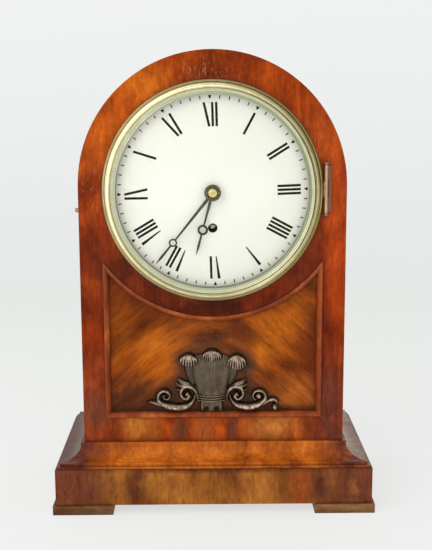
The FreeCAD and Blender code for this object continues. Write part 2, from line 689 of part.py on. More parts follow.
def hand(label, angle, reach, ring, ring_out, ring_in, hub, bore, crown, sphere):
    """Hand with a pierced ring, cut flat and then dished to follow the domed dial."""
    start, length = back("-17"), "17"
    blank = prism(label + "_blank", "y", start, length, [("circle", "0", "dial_height", hub)])
    at = lambda run, side: along(run, side, angle)
    add(blank, "y", start, length,
        [[at("0", "-1.7"), at("%s - %s + 0.5" % (ring, ring_out), "-0.8"),
          at("%s - %s + 0.5" % (ring, ring_out), "0.8"), at("0", "1.7")]])
    add(blank, "y", start, length, [("circle",) + at(ring, "0") + (ring_out,)])
    add(blank, "y", start, length,
        [[at("%s + %s - 0.5" % (ring, ring_out), "-0.95"), at("%s - 8" % reach, "-1.15"),
          at(reach, "-0.2"), at(reach, "0.2"), at("%s - 8" % reach, "1.15"),
          at("%s + %s - 0.5" % (ring, ring_out), "0.95")]])
    cut(blank, "y", start, length, [("circle",) + at(ring, "0") + (ring_in,)])
    cut(blank, "y", start, length, [("circle", "0", "dial_height", bore)])
    tail = "(%s + 4)" % reach
    near = "(-%s + %s)" % (crown, sphere)
    far = "%s - sqrt(%s * %s - %s * %s)" % (near, sphere, sphere, tail, tail)
    shell = turned(label + "_shell", "y", ("0", "dial_height"),
                   [("0", back("-%s" % crown), "0", back(near), "ccw"), (tail, back(far)),
                    (tail, back("%s - hand_thick" % far), "0", back("%s - hand_thick" % near),
                     "cw"),
                    ("0", back("-%s - hand_thick" % crown))])
    dished = document.addObject("Part::Common", "Common")
    dished.Base = blank
    dished.Tool = shell
    document.recompute()
    keep(label, dished)


def hands():
    hand("hour_hand", "hour_angle", "hour_reach", "hour_ring", "hour_ring_out", "hour_ring_in",
         "7.6", "hour_pipe + 0.02", "hour_crown", "hour_sphere")
    hand("minute_hand", "minute_angle", "minute_reach", "minute_ring", "minute_ring_out",
         "minute_ring_in", "6.4", "2.22", "minute_crown", "minute_sphere")
    front = "(-minute_crown - hand_thick - rest_gap)"
    collet = turned("hand_collet", "y", ("0", "dial_height"),
                    [("2.22", back(front)), ("collet_radius", back(front)),
                     ("collet_radius", back("%s - 0.7" % front)),
                     ("collet_dome", back("%s - 0.9" % front)),
                     ("collet_dome - 0.8", back("%s - 2.0" % front)),
                     ("2.22", back("%s - 2.8" % front))])
    cut(collet, "x", "-collet_radius", "2 * collet_radius",
        [("circle", back("%s - 1.8" % front), "dial_height", "0.5")])
    keep("hand_collet", collet)
    pin = turned("hand_pin", "x", (back("%s - 1.8" % front), "dial_height"),
                 stick(("-6.4", "0.48"), ("6.4", "0")))
    keep("hand_pin", pin)


# ---------------------------------------------------------------- toothed pieces
def tooth_space(module, count, steps, phase):
    """Gap between two teeth about a clock angle: (height, half tooth) steps in modules."""
    left, right = [], []
    for height, half in steps:
        radius = "((%s) * ((%s) / 2 + (%s)))" % (module, count, height)
        base = radius if not str(height).startswith("-") else "((%s) * (%s) / 2)" % (module, count)
        swing = "(180 / (%s) - (%s) * (%s) / %s * 180 / pi)" % (count, half, module, base)
        left.append(("%s * sin(%s - %s)" % (radius, phase, swing),
                     "%s * cos(%s - %s)" % (radius, phase, swing)))
        right.append(("%s * sin(%s + %s)" % (radius, phase, swing),
                      "%s * cos(%s + %s)" % (radius, phase, swing)))
    return left + right[::-1]


WHEEL_STEPS = (("-tooth_root", "tooth_foot"), ("tooth_tip", "tooth_point"),
               ("tooth_tip + 0.4", "tooth_point - 0.08"))
LEAF_STEPS = (("-leaf_root", "leaf_half - 0.04"), ("0", "leaf_half"), ("leaf_tip", "0.26"),
              ("leaf_tip + 0.9", "0.1"))
EVEN_STEPS = (("-1.2", "0.76"), ("0.9", "tooth_point"), ("1.3", "tooth_point - 0.08"))


def cut_teeth(body, depth, thick, module, count, steps, phase, origin):
    """Cut every tooth space of one toothed rim."""
    space = cut(body, "y", back(depth), thick, [tooth_space(module, count, steps, phase)], origin)
    repeat(body, space, count)


def wheel(label, origin, depth, thick, module, count, bore, phase):
    """Solid toothed wheel on its arbor."""
    body = prism(label, "y", back(depth), thick,
                 [("circle", "0", "0", "%s * (%s / 2 + tooth_tip)" % (module, count)),
                  ("circle", "0", "0", bore)], origin)
    cut_teeth(body, depth, thick, module, count, WHEEL_STEPS, phase, origin)
    return body


def cross_out(body, depth, thick, rim, hub, origin):
    """Open a wheel into four arms."""
    angle = "(asin(2.2 / (%s)) / 1 deg)" % hub
    wide = "(asin(1.5 / (%s)) / 1 deg)" % rim
    inner = lambda turn: ("(%s) * cos(%s)" % (hub, turn), "(%s) * sin(%s)" % (hub, turn))
    outer = lambda turn: ("(%s) * cos(%s)" % (rim, turn), "(%s) * sin(%s)" % (rim, turn))
    gap = [outer(wide) + ("0", "0", "ccw"), outer("90 - %s" % wide),
           inner("90 - %s" % angle) + ("0", "0", "cw"), inner(angle)]
    window = cut(body, "y", back(depth), thick, [gap], origin)
    repeat(body, window, "4")


def arbor(label, origin, steps, leaf=None):
    """Turned steel arbor; leaf = (depth, thick, module, count, phase) cuts its pinion."""
    body = turned(label, "y", origin, stick(*[(back(depth), radius) for depth, radius in steps]))
    if leaf:
        cut_teeth(body, leaf[0], leaf[1], leaf[2], leaf[3], LEAF_STEPS, leaf[4], origin)
    return body


CENTRE = ("0", "dial_height")
FUSEE = ("0", "dial_height - wind_drop")
THIRD = ("third_side", "dial_height + third_rise")
SCAPE = ("0", "dial_height + scape_rise")
PALLET = ("0", "dial_height + scape_rise + scape_radius * sqrt(2)")
BARREL = ("-barrel_side", "dial_height - wind_drop + barrel_rise")
MINUTE = ("motion_module * (minute_leaves + hour_teeth) / 2", "dial_height")
REAR = "plate_front + plate_thick + plate_gap"


def great_train():
    """Fusee with its great wheel, squared for the winding key at the dial side."""
    steps = (("8", "wind_square"), ("15", "fusee_arbor - run_gap"), (REAR + " - 0.4", "2.0"),
             (REAR + " + plate_thick", "0"))
    spindle = turned("fusee_arbor", "y", FUSEE, stick(*[(back(d), r) for d, r in steps]))
    keep("fusee_arbor", spindle)
    grooves = 7
    loop = [("fusee_arbor", back("fusee_front"))]
    for index in range(grooves):
        low, high = index / grooves, (index + 0.5) / grooves
        for share, drop in ((low, "0"), (high, "1.1")):
            radius = "(fusee_small + (fusee_large - fusee_small) * %.4f - %s)" % (share ** 1.35, drop)
            loop.append((radius, back("fusee_front + fusee_long * %.4f" % share)))
    loop.append(("fusee_large", back("fusee_front + fusee_long")))
    loop.append(("fusee_arbor", back("fusee_front + fusee_long")))
    cone = turned("fusee_cone", "y", FUSEE, loop)
    rim = wheel("great_rim", FUSEE, "great_depth", "great_thick", "great_module", "great_teeth",
                "fusee_arbor", "0")
    keep("fusee", together("fusee", [cone, rim]))


def centre_train():
    leaf = ("great_depth - 2.5", "7.5", "great_module", "centre_leaves", "180 + 180 / centre_leaves")
    tip = "great_module * (centre_leaves / 2 + leaf_tip)"
    steps = (("6", "centre_arbor - run_gap"), ("plate_front + plate_thick + 0.3", "centre_arbor"),
             ("great_depth - 2.5", tip), ("great_depth + 5", "centre_arbor"),
             (REAR + " - 0.3", "centre_arbor - 0.4"), (REAR + " + plate_thick", "0"))
    spindle = arbor("centre_arbor", CENTRE, steps, leaf)
    phase = "(atan2(third_rise; third_side) / 1 deg)"
    body = wheel("centre_wheel", CENTRE, "centre_depth", "wheel_thick", "centre_module",
                 "centre_teeth", "centre_arbor", "90 - %s" % phase)
    cross_out(body, "centre_depth", "wheel_thick", "centre_module * centre_teeth / 2 - 3.2", "5",
              CENTRE)
    keep("centre_wheel", together("centre_wheel", [spindle, body]))


def third_train():
    phase = "(270 - atan2(third_rise; third_side) / 1 deg + 180 / third_leaves)"
    tip = "centre_module * (third_leaves / 2 + leaf_tip)"
    leaf = ("centre_depth - 2", "6", "centre_module", "third_leaves", phase)
    steps = (("plate_front", "pivot_radius"), ("plate_front + plate_thick + 0.3", "third_arbor"),
             ("centre_depth - 2", tip), ("centre_depth + 4", "third_arbor"),
             (REAR + " - 0.3", "pivot_radius"), (REAR + " + plate_thick", "0"))
    spindle = arbor("third_arbor", THIRD, steps, leaf)
    toward = "(90 - atan2(scape_rise - third_rise; -third_side) / 1 deg)"
    body = wheel("third_wheel", THIRD, "third_depth", "wheel_thick", "third_module",
                 "third_teeth", "third_arbor", toward)
    cross_out(body, "third_depth", "wheel_thick", "third_module * third_teeth / 2 - 2.8", "4",
              THIRD)
    keep("third_wheel", together("third_wheel", [spindle, body]))


def scape_train():
    phase = "(270 - atan2(scape_rise - third_rise; -third_side) / 1 deg + 180 / scape_leaves)"
    tip = "third_module * (scape_leaves / 2 + leaf_tip)"
    leaf = ("third_depth - 3", "7", "third_module", "scape_leaves", phase)
    steps = (("plate_front", "pivot_radius"), ("plate_front + plate_thick + 0.3", "scape_arbor"),
             ("third_depth - 3", tip), ("third_depth + 4", "scape_arbor"),
             (REAR + " - 0.3", "pivot_radius"), (REAR + " + plate_thick", "0"))
    spindle = arbor("scape_arbor", SCAPE, steps, leaf)
    body = prism("scape_wheel", "y", back("scape_depth"), "wheel_thick",
                 [("circle", "0", "0", "scape_radius"), ("circle", "0", "0", "scape_arbor")], SCAPE)
    spot = lambda radius, angle: ("(%s) * sin(%s)" % (radius, angle),
                                  "(%s) * cos(%s)" % (radius, angle))
    pitch = "360 / scape_teeth"
    space = cut(body, "y", back("scape_depth"), "wheel_thick",
                [[spot("scape_radius + 0.5", "0.7"), spot("scape_radius - 3.2", "2.6"),
                  spot("scape_radius - 3.2", "%s - 2.2" % pitch),
                  spot("scape_radius + 0.5", "%s - 0.4" % pitch)]], SCAPE)
    repeat(body, space, "scape_teeth")
    cross_out(body, "scape_depth", "wheel_thick", "scape_radius - 5", "3.6", SCAPE)
    keep("scape_wheel", together("scape_wheel", [spindle, body]))


def pallets():
    """Anchor over the escape wheel, its arbor and the crutch that takes the pendulum."""
    steps = (("plate_front", "pivot_radius"), ("plate_front + plate_thick + 0.3", "pallet_arbor"),
             ("cock_depth - 0.3", "pivot_radius"), ("cock_depth + cock_thick", "0"))
    spindle = arbor("pallet_arbor", PALLET, steps)
    stem = prism("crutch", "y", back("81"), "2",
                 [("circle", "0", "0", "3.5"), ("circle", "0", "0", "pallet_arbor")], PALLET)
    add(stem, "y", back("81"), "2", [box("-1.2", "1.2", "-54", "-3")], PALLET)
    add(stem, "y", back("81"), "2", [box("-3", "3", "-57", "-53")], PALLET)
    for left, right in (("-3", "-pendulum_rod - 0.1"), ("pendulum_rod + 0.1", "3")):
        add(stem, "y", back("81"), "12", [box(left, right, "-57", "-54")], PALLET)
    keep("crutch", stem)
    tip = lambda angle: ("(scape_radius + pallet_clear) * sin(%s)" % angle,
                         "(scape_radius + pallet_clear) * cos(%s) - scape_radius * sqrt(2)" % angle)
    side = [("0", "4.2"), ("4.5", "3.2"), ("13", "-4.5"), ("16.5", "-10.5"), ("14.6", "-10.8")]
    inner = [("12.6", "-9.4"), ("8.5", "-5.2"), ("3.5", "-2.8"), ("0", "-3.2")]
    flip = lambda spot: ("-(%s)" % spot[0], spot[1])
    outline = side + [tip("46.0"), tip("44.2")] + inner
    other = [flip(spot) for spot in outline[1:-1]][::-1]
    anchor = prism("anchor", "y", back("scape_depth - 1"), "wheel_thick + 2",
                   [outline + other], PALLET)
    cut(anchor, "y", back("scape_depth - 1"), "wheel_thick + 2",
        [("circle", "0", "0", "pallet_arbor")], PALLET)
    keep("anchor", joined("anchor", [anchor, spindle]))


def barrel():
    front, long = "28", "30"
    drum = turned("barrel", "y", BARREL,
                  [("2.55", back(front)), ("barrel_radius + 1", back(front)),
                   ("barrel_radius + 1", back(front + " + 1.2")),
                   ("barrel_radius", back(front + " + 1.2")),
                   ("barrel_radius", back("%s + %s - 1.2" % (front, long))),
                   ("barrel_radius + 1", back("%s + %s - 1.2" % (front, long))),
                   ("barrel_radius + 1", back("%s + %s" % (front, long))),
                   ("2.55", back("%s + %s" % (front, long))),
                   ("2.55", back("%s + %s - 1.6" % (front, long))),
                   ("barrel_radius - 1.4", back("%s + %s - 1.6" % (front, long))),
                   ("barrel_radius - 1.4", back(front + " + 1.6")),
                   ("2.55", back(front + " + 1.6"))])
    keep("barrel", drum)
    steps = (("12.5", "1.6"), ("17", "7.5"), ("19.2", "2.2"), ("plate_front + plate_thick + 0.3",
                                                               "2.5"),
             (REAR + " - 0.3", "2.2"), (REAR + " + plate_thick", "0"))
    spindle = arbor("barrel_arbor", BARREL, steps)
    notch = cut(spindle, "y", back("17"), "2.2",
                [[("0", "8.2"), ("0", "6.2"), ("2.2", "7.2"), ("2.4", "8.2")]], BARREL)
    repeat(spindle, notch, "16")
    keep("barrel_arbor", spindle)


def movement_frame():
    """Two brass plates, four turned pillars and the board they stand on."""
    low = "seat_top"
    high = "seat_top + plate_high"
    loop = [("-plate_half", low), ("plate_half", low),
            ("plate_half", high + " - plate_corner"), ("plate_half - plate_corner", high),
            ("-plate_half + plate_corner", high), ("-plate_half", high + " - plate_corner")]
    pins = [("circle", sign + "pillar_side", "seat_top + " + rise, "pillar_pin")
            for sign in ("-", "") for rise in ("pillar_low", "pillar_high")]
    hole = lambda at, radius: ("circle", at[0], at[1], radius)
    shared = [hole(THIRD, "pivot_radius + run_gap"), hole(SCAPE, "pivot_radius + run_gap"),
              hole(BARREL, "2.2 + run_gap")]
    front = prism("plate_front", "y", back("plate_front"), "plate_thick",
                  [loop] + pins + shared +
                  [hole(FUSEE, "fusee_arbor"), hole(CENTRE, "centre_arbor"),
                   hole(PALLET, "pivot_radius + run_gap")] +
                  [hole(at, "dial_foot_radius + run_gap") for at in dial_foot_places()])
    keep("movement_front_plate", front)
    rear = prism("plate_rear", "y", back(REAR), "plate_thick",
                 [loop] + pins + shared +
                 [hole(FUSEE, "2.0 + run_gap"), hole(CENTRE, "centre_arbor - 0.4 + run_gap"),
                  hole(PALLET, "5.0")])
    keep("movement_back_plate", rear)
    pillars = []
    for sign in ("-", ""):
        for rise in ("pillar_low", "pillar_high"):
            at = (sign + "pillar_side", "seat_top + " + rise)
            steps = (("plate_front - 0.6", "pillar_pin"),
                     ("plate_front + plate_thick", "pillar_radius + 1.5"),
                     ("plate_front + plate_thick + 4", "pillar_radius"),
                     (REAR + " - 4", "pillar_radius + 1.5"),
                     (REAR, "pillar_pin"), (REAR + " + plate_thick", "0"))
            post = turned("pillar", "y", at, stick(*[(back(d), r) for d, r in steps]))
            if rise == "pillar_low":
                cut(post, "z", "seat_top", "pillar_low + 1",
                    [("circle", at[0], back("50"), "bolt_radius")])
            pillars.append(post)
    keep("movement_pillars", together("movement_pillars", pillars))


def seat():
    board = prism("seat_board", "z", "seat_top - seat_thick", "seat_thick",
                  [box("-" + INNER, INNER, BEHIND, back("seat_depth"))])
    for sign in ("-", ""):
        cut(board, "z", "seat_top - seat_thick", "seat_thick",
            [("circle", sign + "pillar_side", back("50"), "bolt_radius + fit_gap")])
    keep("seat_board", board)
    cheek = prism("cheek", "z", "seat_top - seat_thick - cheek_height", "cheek_height",
                  [box("-" + INNER, "-%s + cheek_width" % INNER, BEHIND, back("seat_depth"))])
    keep("seat_cheeks", together("seat_cheeks", [cheek, mirrored("cheek_two", cheek)]))
    bolts = []
    for sign in ("-", ""):
        bolt = turned("bolt", "z", (sign + "pillar_side", back("50")),
                      stick(("seat_top - seat_thick - 3", "bolt_head"),
                            ("seat_top - seat_thick", "bolt_radius - 0.02"),
                            ("seat_top + pillar_low", "0")))
        cut(bolt, "z", "seat_top - seat_thick - 3", "1.2",
            [box("%spillar_side - 5" % sign, "%spillar_side + 5" % sign,
                 back("50") + " - 0.5", back("50") + " + 0.5")])
        bolts.append(bolt)
    keep("seat_bolts", together("seat_bolts", bolts))


def motion_work():
    """Cannon wheel, minute wheel and hour wheel with the bridge that carries them."""
    even = "(motion_module * (minute_leaves + hour_teeth) / 2 / cannon_teeth)"
    rim = "%s * (cannon_teeth / 2 + 0.9)" % even
    cannon = prism("cannon_wheel", "y", back("cannon_depth"), "1.5",
                   [("circle", "0", "0", rim)], CENTRE)
    cut_teeth(cannon, "cannon_depth", "1.5", even, "cannon_teeth", EVEN_STEPS, "90", CENTRE)
    add(cannon, "y", back("-9.6"), "cannon_depth + 9.7",
        [("circle", "0", "0", "cannon_pipe")], CENTRE)
    add(cannon, "y", back("-14.3"), "4.8", [("circle", "0", "0", "2.2")], CENTRE)
    cut(cannon, "y", back("5"), "cannon_depth", [("circle", "0", "0", "cannon_bore")], CENTRE)
    cut(cannon, "x", "-3", "6",
        [("circle", back("-minute_crown - hand_thick - rest_gap - 1.8"), "dial_height", "0.5")])
    keep("cannon_wheel", cannon)
    minute = prism("minute_wheel", "y", back("cannon_depth"), "1.5",
                   [("circle", "0", "0", rim)], MINUTE)
    cut_teeth(minute, "cannon_depth", "1.5", even, "cannon_teeth", EVEN_STEPS,
              "270 + 180 / cannon_teeth", MINUTE)
    pinion = prism("minute_pinion", "y", back("hour_depth - 1"), "cannon_depth - hour_depth + 1",
                   [("circle", "0", "0", "motion_module * (minute_leaves / 2 + leaf_tip)")], MINUTE)
    cut_teeth(pinion, "hour_depth - 1", "cannon_depth - hour_depth + 1", "motion_module",
              "minute_leaves", LEAF_STEPS, "270 + 180 / minute_leaves", MINUTE)
    blank = joined("minute_blank", [minute, pinion])
    bore = prism("minute_bore", "y", back("0"), "30",
                 [("circle", "0", "0", "post_radius + run_gap")], MINUTE)
    bored = document.addObject("Part::Cut", "Cut")
    bored.Base = blank
    bored.Tool = bore
    document.recompute()
    keep("minute_wheel", bored)
    hour = wheel("hour_wheel", CENTRE, "hour_depth", "1.5", "motion_module", "hour_teeth",
                 "bridge_pipe + run_gap", "90")
    add(hour, "y", back("-9.8"), "hour_depth + 9.9",
        [("circle", "0", "0", "hour_pipe"), ("circle", "0", "0", "bridge_pipe + run_gap")], CENTRE)
    keep("hour_wheel", hour)
    bridge = prism("motion_bridge", "y", back("bridge_depth"), "2",
                   [[("-8", "-27"), ("8", "-27"), ("8", "27"), ("-8", "27")]], CENTRE)
    for low in ("-27", "21"):
        add(bridge, "y", back("bridge_depth"), "plate_front - bridge_depth",
            [box("-8", "8", low, "%s + 6" % low)], CENTRE)
    add(bridge, "y", back("-6"), "bridge_depth + 6.1", [("circle", "0", "0", "bridge_pipe")],
        CENTRE)
    cut(bridge, "y", back("-7"), "30", [("circle", "0", "0", "cannon_pipe + run_gap")], CENTRE)
    for rise in ("-24", "24"):
        cut(bridge, "y", back("bridge_depth"), "8", [("circle", "0", rise, "1.22")], CENTRE)
    keep("motion_bridge", bridge)
    keep("minute_post", turned("minute_post", "y", MINUTE,
                               stick((back("hour_depth - 2"), "post_radius"),
                                     (back("plate_front - 1.2"), "2.4"),
                                     (back("plate_front"), "0"))))


def screw(at, head, tip, inward):
    """Cheese-head screw along Y with a slot; inward is +1 when it is driven to the back."""
    sign = "+" if inward > 0 else "-"
    body = turned("screw", "y", at,
                  stick(*sorted([(back(head), "2.3"), (back("%s %s 1.8" % (head, sign)), "1.2"),
                                 (back(tip), "0")], key=lambda step: value(step[0]))
                        if inward > 0 else
                        [(back(tip), "1.2"), (back("%s - 1.8" % head), "2.3"), (back(head), "0")]))
    slot = back(head) if inward > 0 else back("%s - 0.6" % head)
    cut(body, "y", slot, "0.6", [box("%s - 3" % at[0], "%s + 3" % at[0],
                                     "%s - 0.3" % at[1], "%s + 0.3" % at[1])])
    return body


def cock():
    """Back cock: rear bearing of the pallets and the slit stud that hangs the pendulum."""
    bar = prism("back_cock", "y", back("cock_depth"), "cock_thick",
                [box("-cock_half", "cock_half", "-8", "10"),
                 ("circle", "0", "0", "pivot_radius + run_gap")], PALLET)
    for low in ("-cock_half", "cock_half - 5"):
        add(bar, "y", back(REAR + " + plate_thick"), "cock_depth - (%s) - plate_thick" % REAR,
            [box(low, "%s + 5" % low, "-8", "8")], PALLET)
    add(bar, "y", back("cock_depth + cock_thick - 0.1"), "6.1", [box("-4", "4", "1.6", "9")],
        PALLET)
    cut(bar, "y", back("cock_depth + cock_thick"), "7",
        [box("-slit_half", "slit_half", "1", "11")], PALLET)
    for side_x in ("-cock_half + 2.5", "cock_half - 2.5"):
        cut(bar, "y", back("70"), "30", [("circle", side_x, "3", "1.22")], PALLET)
    keep("back_cock", bar)
    rise = PALLET[1] + " + 3"
    screws = [screw(("-cock_half + 2.5", rise), "cock_depth + cock_thick + 1.8", REAR + " + 3.1", -1),
              screw(("cock_half - 2.5", rise), "cock_depth + cock_thick + 1.8", REAR + " + 3.1", -1),
              screw(("0", "dial_height - 24"), "bridge_depth - 1.8", "plate_front - 0.1", 1),
              screw(("0", "dial_height + 24"), "bridge_depth - 1.8", "plate_front - 0.1", 1)]
    keep("movement_screws", together("movement_screws", screws))


def pendulum():
    pivot = PALLET[1]
    rod_y = back("rod_depth")
    spring = prism("suspension_spring", "z", pivot + " - 6", "15",
                   [box("-spring_half", "spring_half", back("rod_depth - 1.9"),
                        back("rod_depth + 1.9"))])
    add(spring, "z", pivot + " + 9.2", "2.6",
        [box("-2.5", "2.5", back("rod_depth - 1.9"), back("rod_depth + 1.9"))])
    keep("suspension_spring", spring)
    rod = turned("pendulum_rod", "z", ("0", rod_y),
                 stick(("%s - pendulum_long - bob_radius - nut_high - 5" % pivot,
                        "pendulum_rod - 0.1"),
                       ("%s - pendulum_long - bob_radius - 0.2" % pivot, "pendulum_rod"),
                       (pivot + " - 12", "rod_block"), (pivot + " - 5.4", "0")))
    cut(rod, "z", pivot + " - 9", "4",
        [box("-spring_half", "spring_half", back("rod_depth - 3"), back("rod_depth + 3"))])
    keep("pendulum_rod", rod)
    middle = "%s - pendulum_long" % pivot
    sphere = "((bob_radius * bob_radius + bob_half * bob_half) / (2 * bob_half))"
    bob = turned("pendulum_bob", "y", ("0", middle),
                 [("0", back("rod_depth - bob_half"), "0",
                   back("rod_depth - bob_half + %s" % sphere), "ccw"),
                  ("bob_radius", back("rod_depth"), "0",
                   back("rod_depth + bob_half - %s" % sphere), "ccw"),
                  ("0", back("rod_depth + bob_half"))])
    cut(bob, "z", "%s - bob_radius - 1" % middle, "2 * bob_radius + 2",
        [("circle", "0", back("rod_depth"), "pendulum_rod + run_gap")])
    keep("pendulum_bob", bob)
    low = "(%s - bob_radius - nut_high - 0.2)" % middle
    nut = turned("rating_nut", "z", ("0", rod_y),
                 [("pendulum_rod", low), ("nut_radius", low), ("nut_radius", low + " + nut_high"),
                  ("pendulum_rod", low + " + nut_high")])
    knurl = cut(nut, "z", low, "nut_high",
                [[("-0.5", "nut_radius + 0.5"), ("0", "nut_radius - 0.4"),
                  ("0.5", "nut_radius + 0.5")]], ("0", back("rod_depth")))
    repeat(nut, knurl, "16")
    keep("rating_nut", nut)


# ---------------------------------------------------------------- back door
def back_door():
    face = "(back_plane - back_thick)"
    frame = prism("back_door", "y", face, "door_thick",
                  [arched("door_half", "door_bottom", "door_gap"),
                   arched("door_half - door_stile", "door_bottom + door_stile")])
    cut(frame, "y", face, "3", [arched("door_half - door_stile + 6", "door_bottom + door_stile - 6"),
                                ])
    keep("back_door", frame)
    keep("back_door_pane", prism("back_door_pane", "y", face + " + 0.9", "pane_thick",
                                 [arched("door_half - door_stile + 6",
                                         "door_bottom + door_stile - 6", "fit_gap")]))
    axis_x = "(-door_half + door_knuckle + 0.3)"
    axis_y = "(%s + door_thick + door_knuckle + 0.1)" % face
    leaves, frames, pins = [], [], []
    for low in ("door_bottom + 24", "arch_springing - 60"):
        third = "(door_leaf_high / 3)"
        moving = prism("door_leaf", "z", "%s + %s + 0.1" % (low, third), third + " - 0.2",
                       [("circle", axis_x, axis_y, "door_knuckle")])
        add(moving, "z", "%s + %s + 0.1" % (low, third), third + " - 0.2",
            [box(axis_x, axis_x + " + 12", axis_y + " - door_knuckle - 0.1", axis_y + " - 0.9")])
        cut(moving, "z", "%s + %s + 0.1" % (low, third), third + " - 0.2",
            [("circle", axis_x, axis_y, "0.8 + slide_gap")])
        leaves.append(moving)
        for base in (low, "%s + 2 * %s" % (low, third)):
            fixed = prism("frame_leaf", "z", base, third,
                          [("circle", axis_x, axis_y, "door_knuckle")])
            add(fixed, "z", base, third,
                [box("-door_half - door_rebate + 0.5", axis_x, axis_y + " - door_knuckle - 0.1",
                     axis_y + " - 0.9")])
            cut(fixed, "z", base, third, [("circle", axis_x, axis_y, "0.8 + slide_gap")])
            frames.append(fixed)
        pins.append(turned("door_pin", "z", (axis_x, axis_y),
                           stick((low + " - 0.6", "1.3"), (low + " - 0.05", "0.8"),
                                 (low + " + door_leaf_high + 0.05", "1.3"),
                                 (low + " + door_leaf_high + 0.6", "0"))))
    keep("door_hinge_leaves", together("door_hinge_leaves", leaves))
    keep("frame_hinges", together("frame_hinges", frames + pins))
    at = ("door_half - door_stile / 2", "turn_height")
    stile = "door_thick"
    turn_piece = turned("door_turn", "y", at,
                        [("0", face + " - 3.6"), ("2.2", face + " - 3.6"),
                         ("2.2", face + " + %s + 0.3" % stile), ("6", face + " + %s + 0.3" % stile),
                         ("6.5", face + " + %s + 4.5" % stile), ("5.5", face + " + %s + 6.5" % stile),
                         ("0", face + " + %s + 7" % stile)])
    add(turn_piece, "y", face + " - 2.6", "2",
        [box("-3", "3", "-3", "18")], at)
    keep("door_turn", turn_piece)
    cut(frame, "y", face, "door_thick", [("circle",) + at + ("2.2 + slide_gap",)])


case_front()
case_sides()
plinth()
plinth_mouldings()
keep("feet", together("feet", foot("foot_front", False) + foot("foot_rear", True)))
panel()
mount()
bezel()
bezel_hinge()
bezel_catch()
dial()
hands()
great_train()
centre_train()
third_train()
scape_train()
pallets()
barrel()
movement_frame()
seat()
motion_work()
cock()
pendulum()
back_door()

document.recompute()
for item in document.Objects:
    if "Invalid" in item.State or "Error" in item.State:
        raise ValueError("%s is not valid" % item.Label)
os.makedirs("parts", exist_ok=True)
for label, item in NODES.items():
    if item.Shape.isNull() or not item.Shape.isValid():
        raise ValueError("%s has no sound shape" % label)
    item.Shape.exportStep("parts/%s.step" % label)
print("%d pieces" % len(NODES))
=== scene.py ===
import math
import bpy
import numpy as np
from mathutils import Matrix, Vector


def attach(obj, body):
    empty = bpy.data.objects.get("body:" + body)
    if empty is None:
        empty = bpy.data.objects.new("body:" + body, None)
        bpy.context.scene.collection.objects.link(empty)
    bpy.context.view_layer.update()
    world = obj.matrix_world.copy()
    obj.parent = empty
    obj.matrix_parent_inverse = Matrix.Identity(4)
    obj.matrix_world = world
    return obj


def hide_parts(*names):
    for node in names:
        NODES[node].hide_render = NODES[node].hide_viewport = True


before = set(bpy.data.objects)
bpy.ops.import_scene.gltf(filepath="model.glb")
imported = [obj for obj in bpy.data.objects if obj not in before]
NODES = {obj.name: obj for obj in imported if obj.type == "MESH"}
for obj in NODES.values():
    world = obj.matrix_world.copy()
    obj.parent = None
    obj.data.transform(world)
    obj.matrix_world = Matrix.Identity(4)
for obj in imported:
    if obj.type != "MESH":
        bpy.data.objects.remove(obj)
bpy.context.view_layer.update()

MM = 0.001

# Places shared with the solids, in millimetres. Depths run back from the front board's face.
FRONT = -59.75
DIAL_Z = 327.0
DIAL_CROWN = -5.0
DIAL_SPHERE = 648.0
WINDING_Z = 291.12
PANEL_DEPTH = 4.5
HINGE_X, HINGE_DEPTH = 112.7, -4.0
HINGE_LOW, HINGE_HIGH = 305.9, 353.1

# Noise seldom leaves this band, so most ranges are read between its ends.
BAND = (0.3, 0.7)


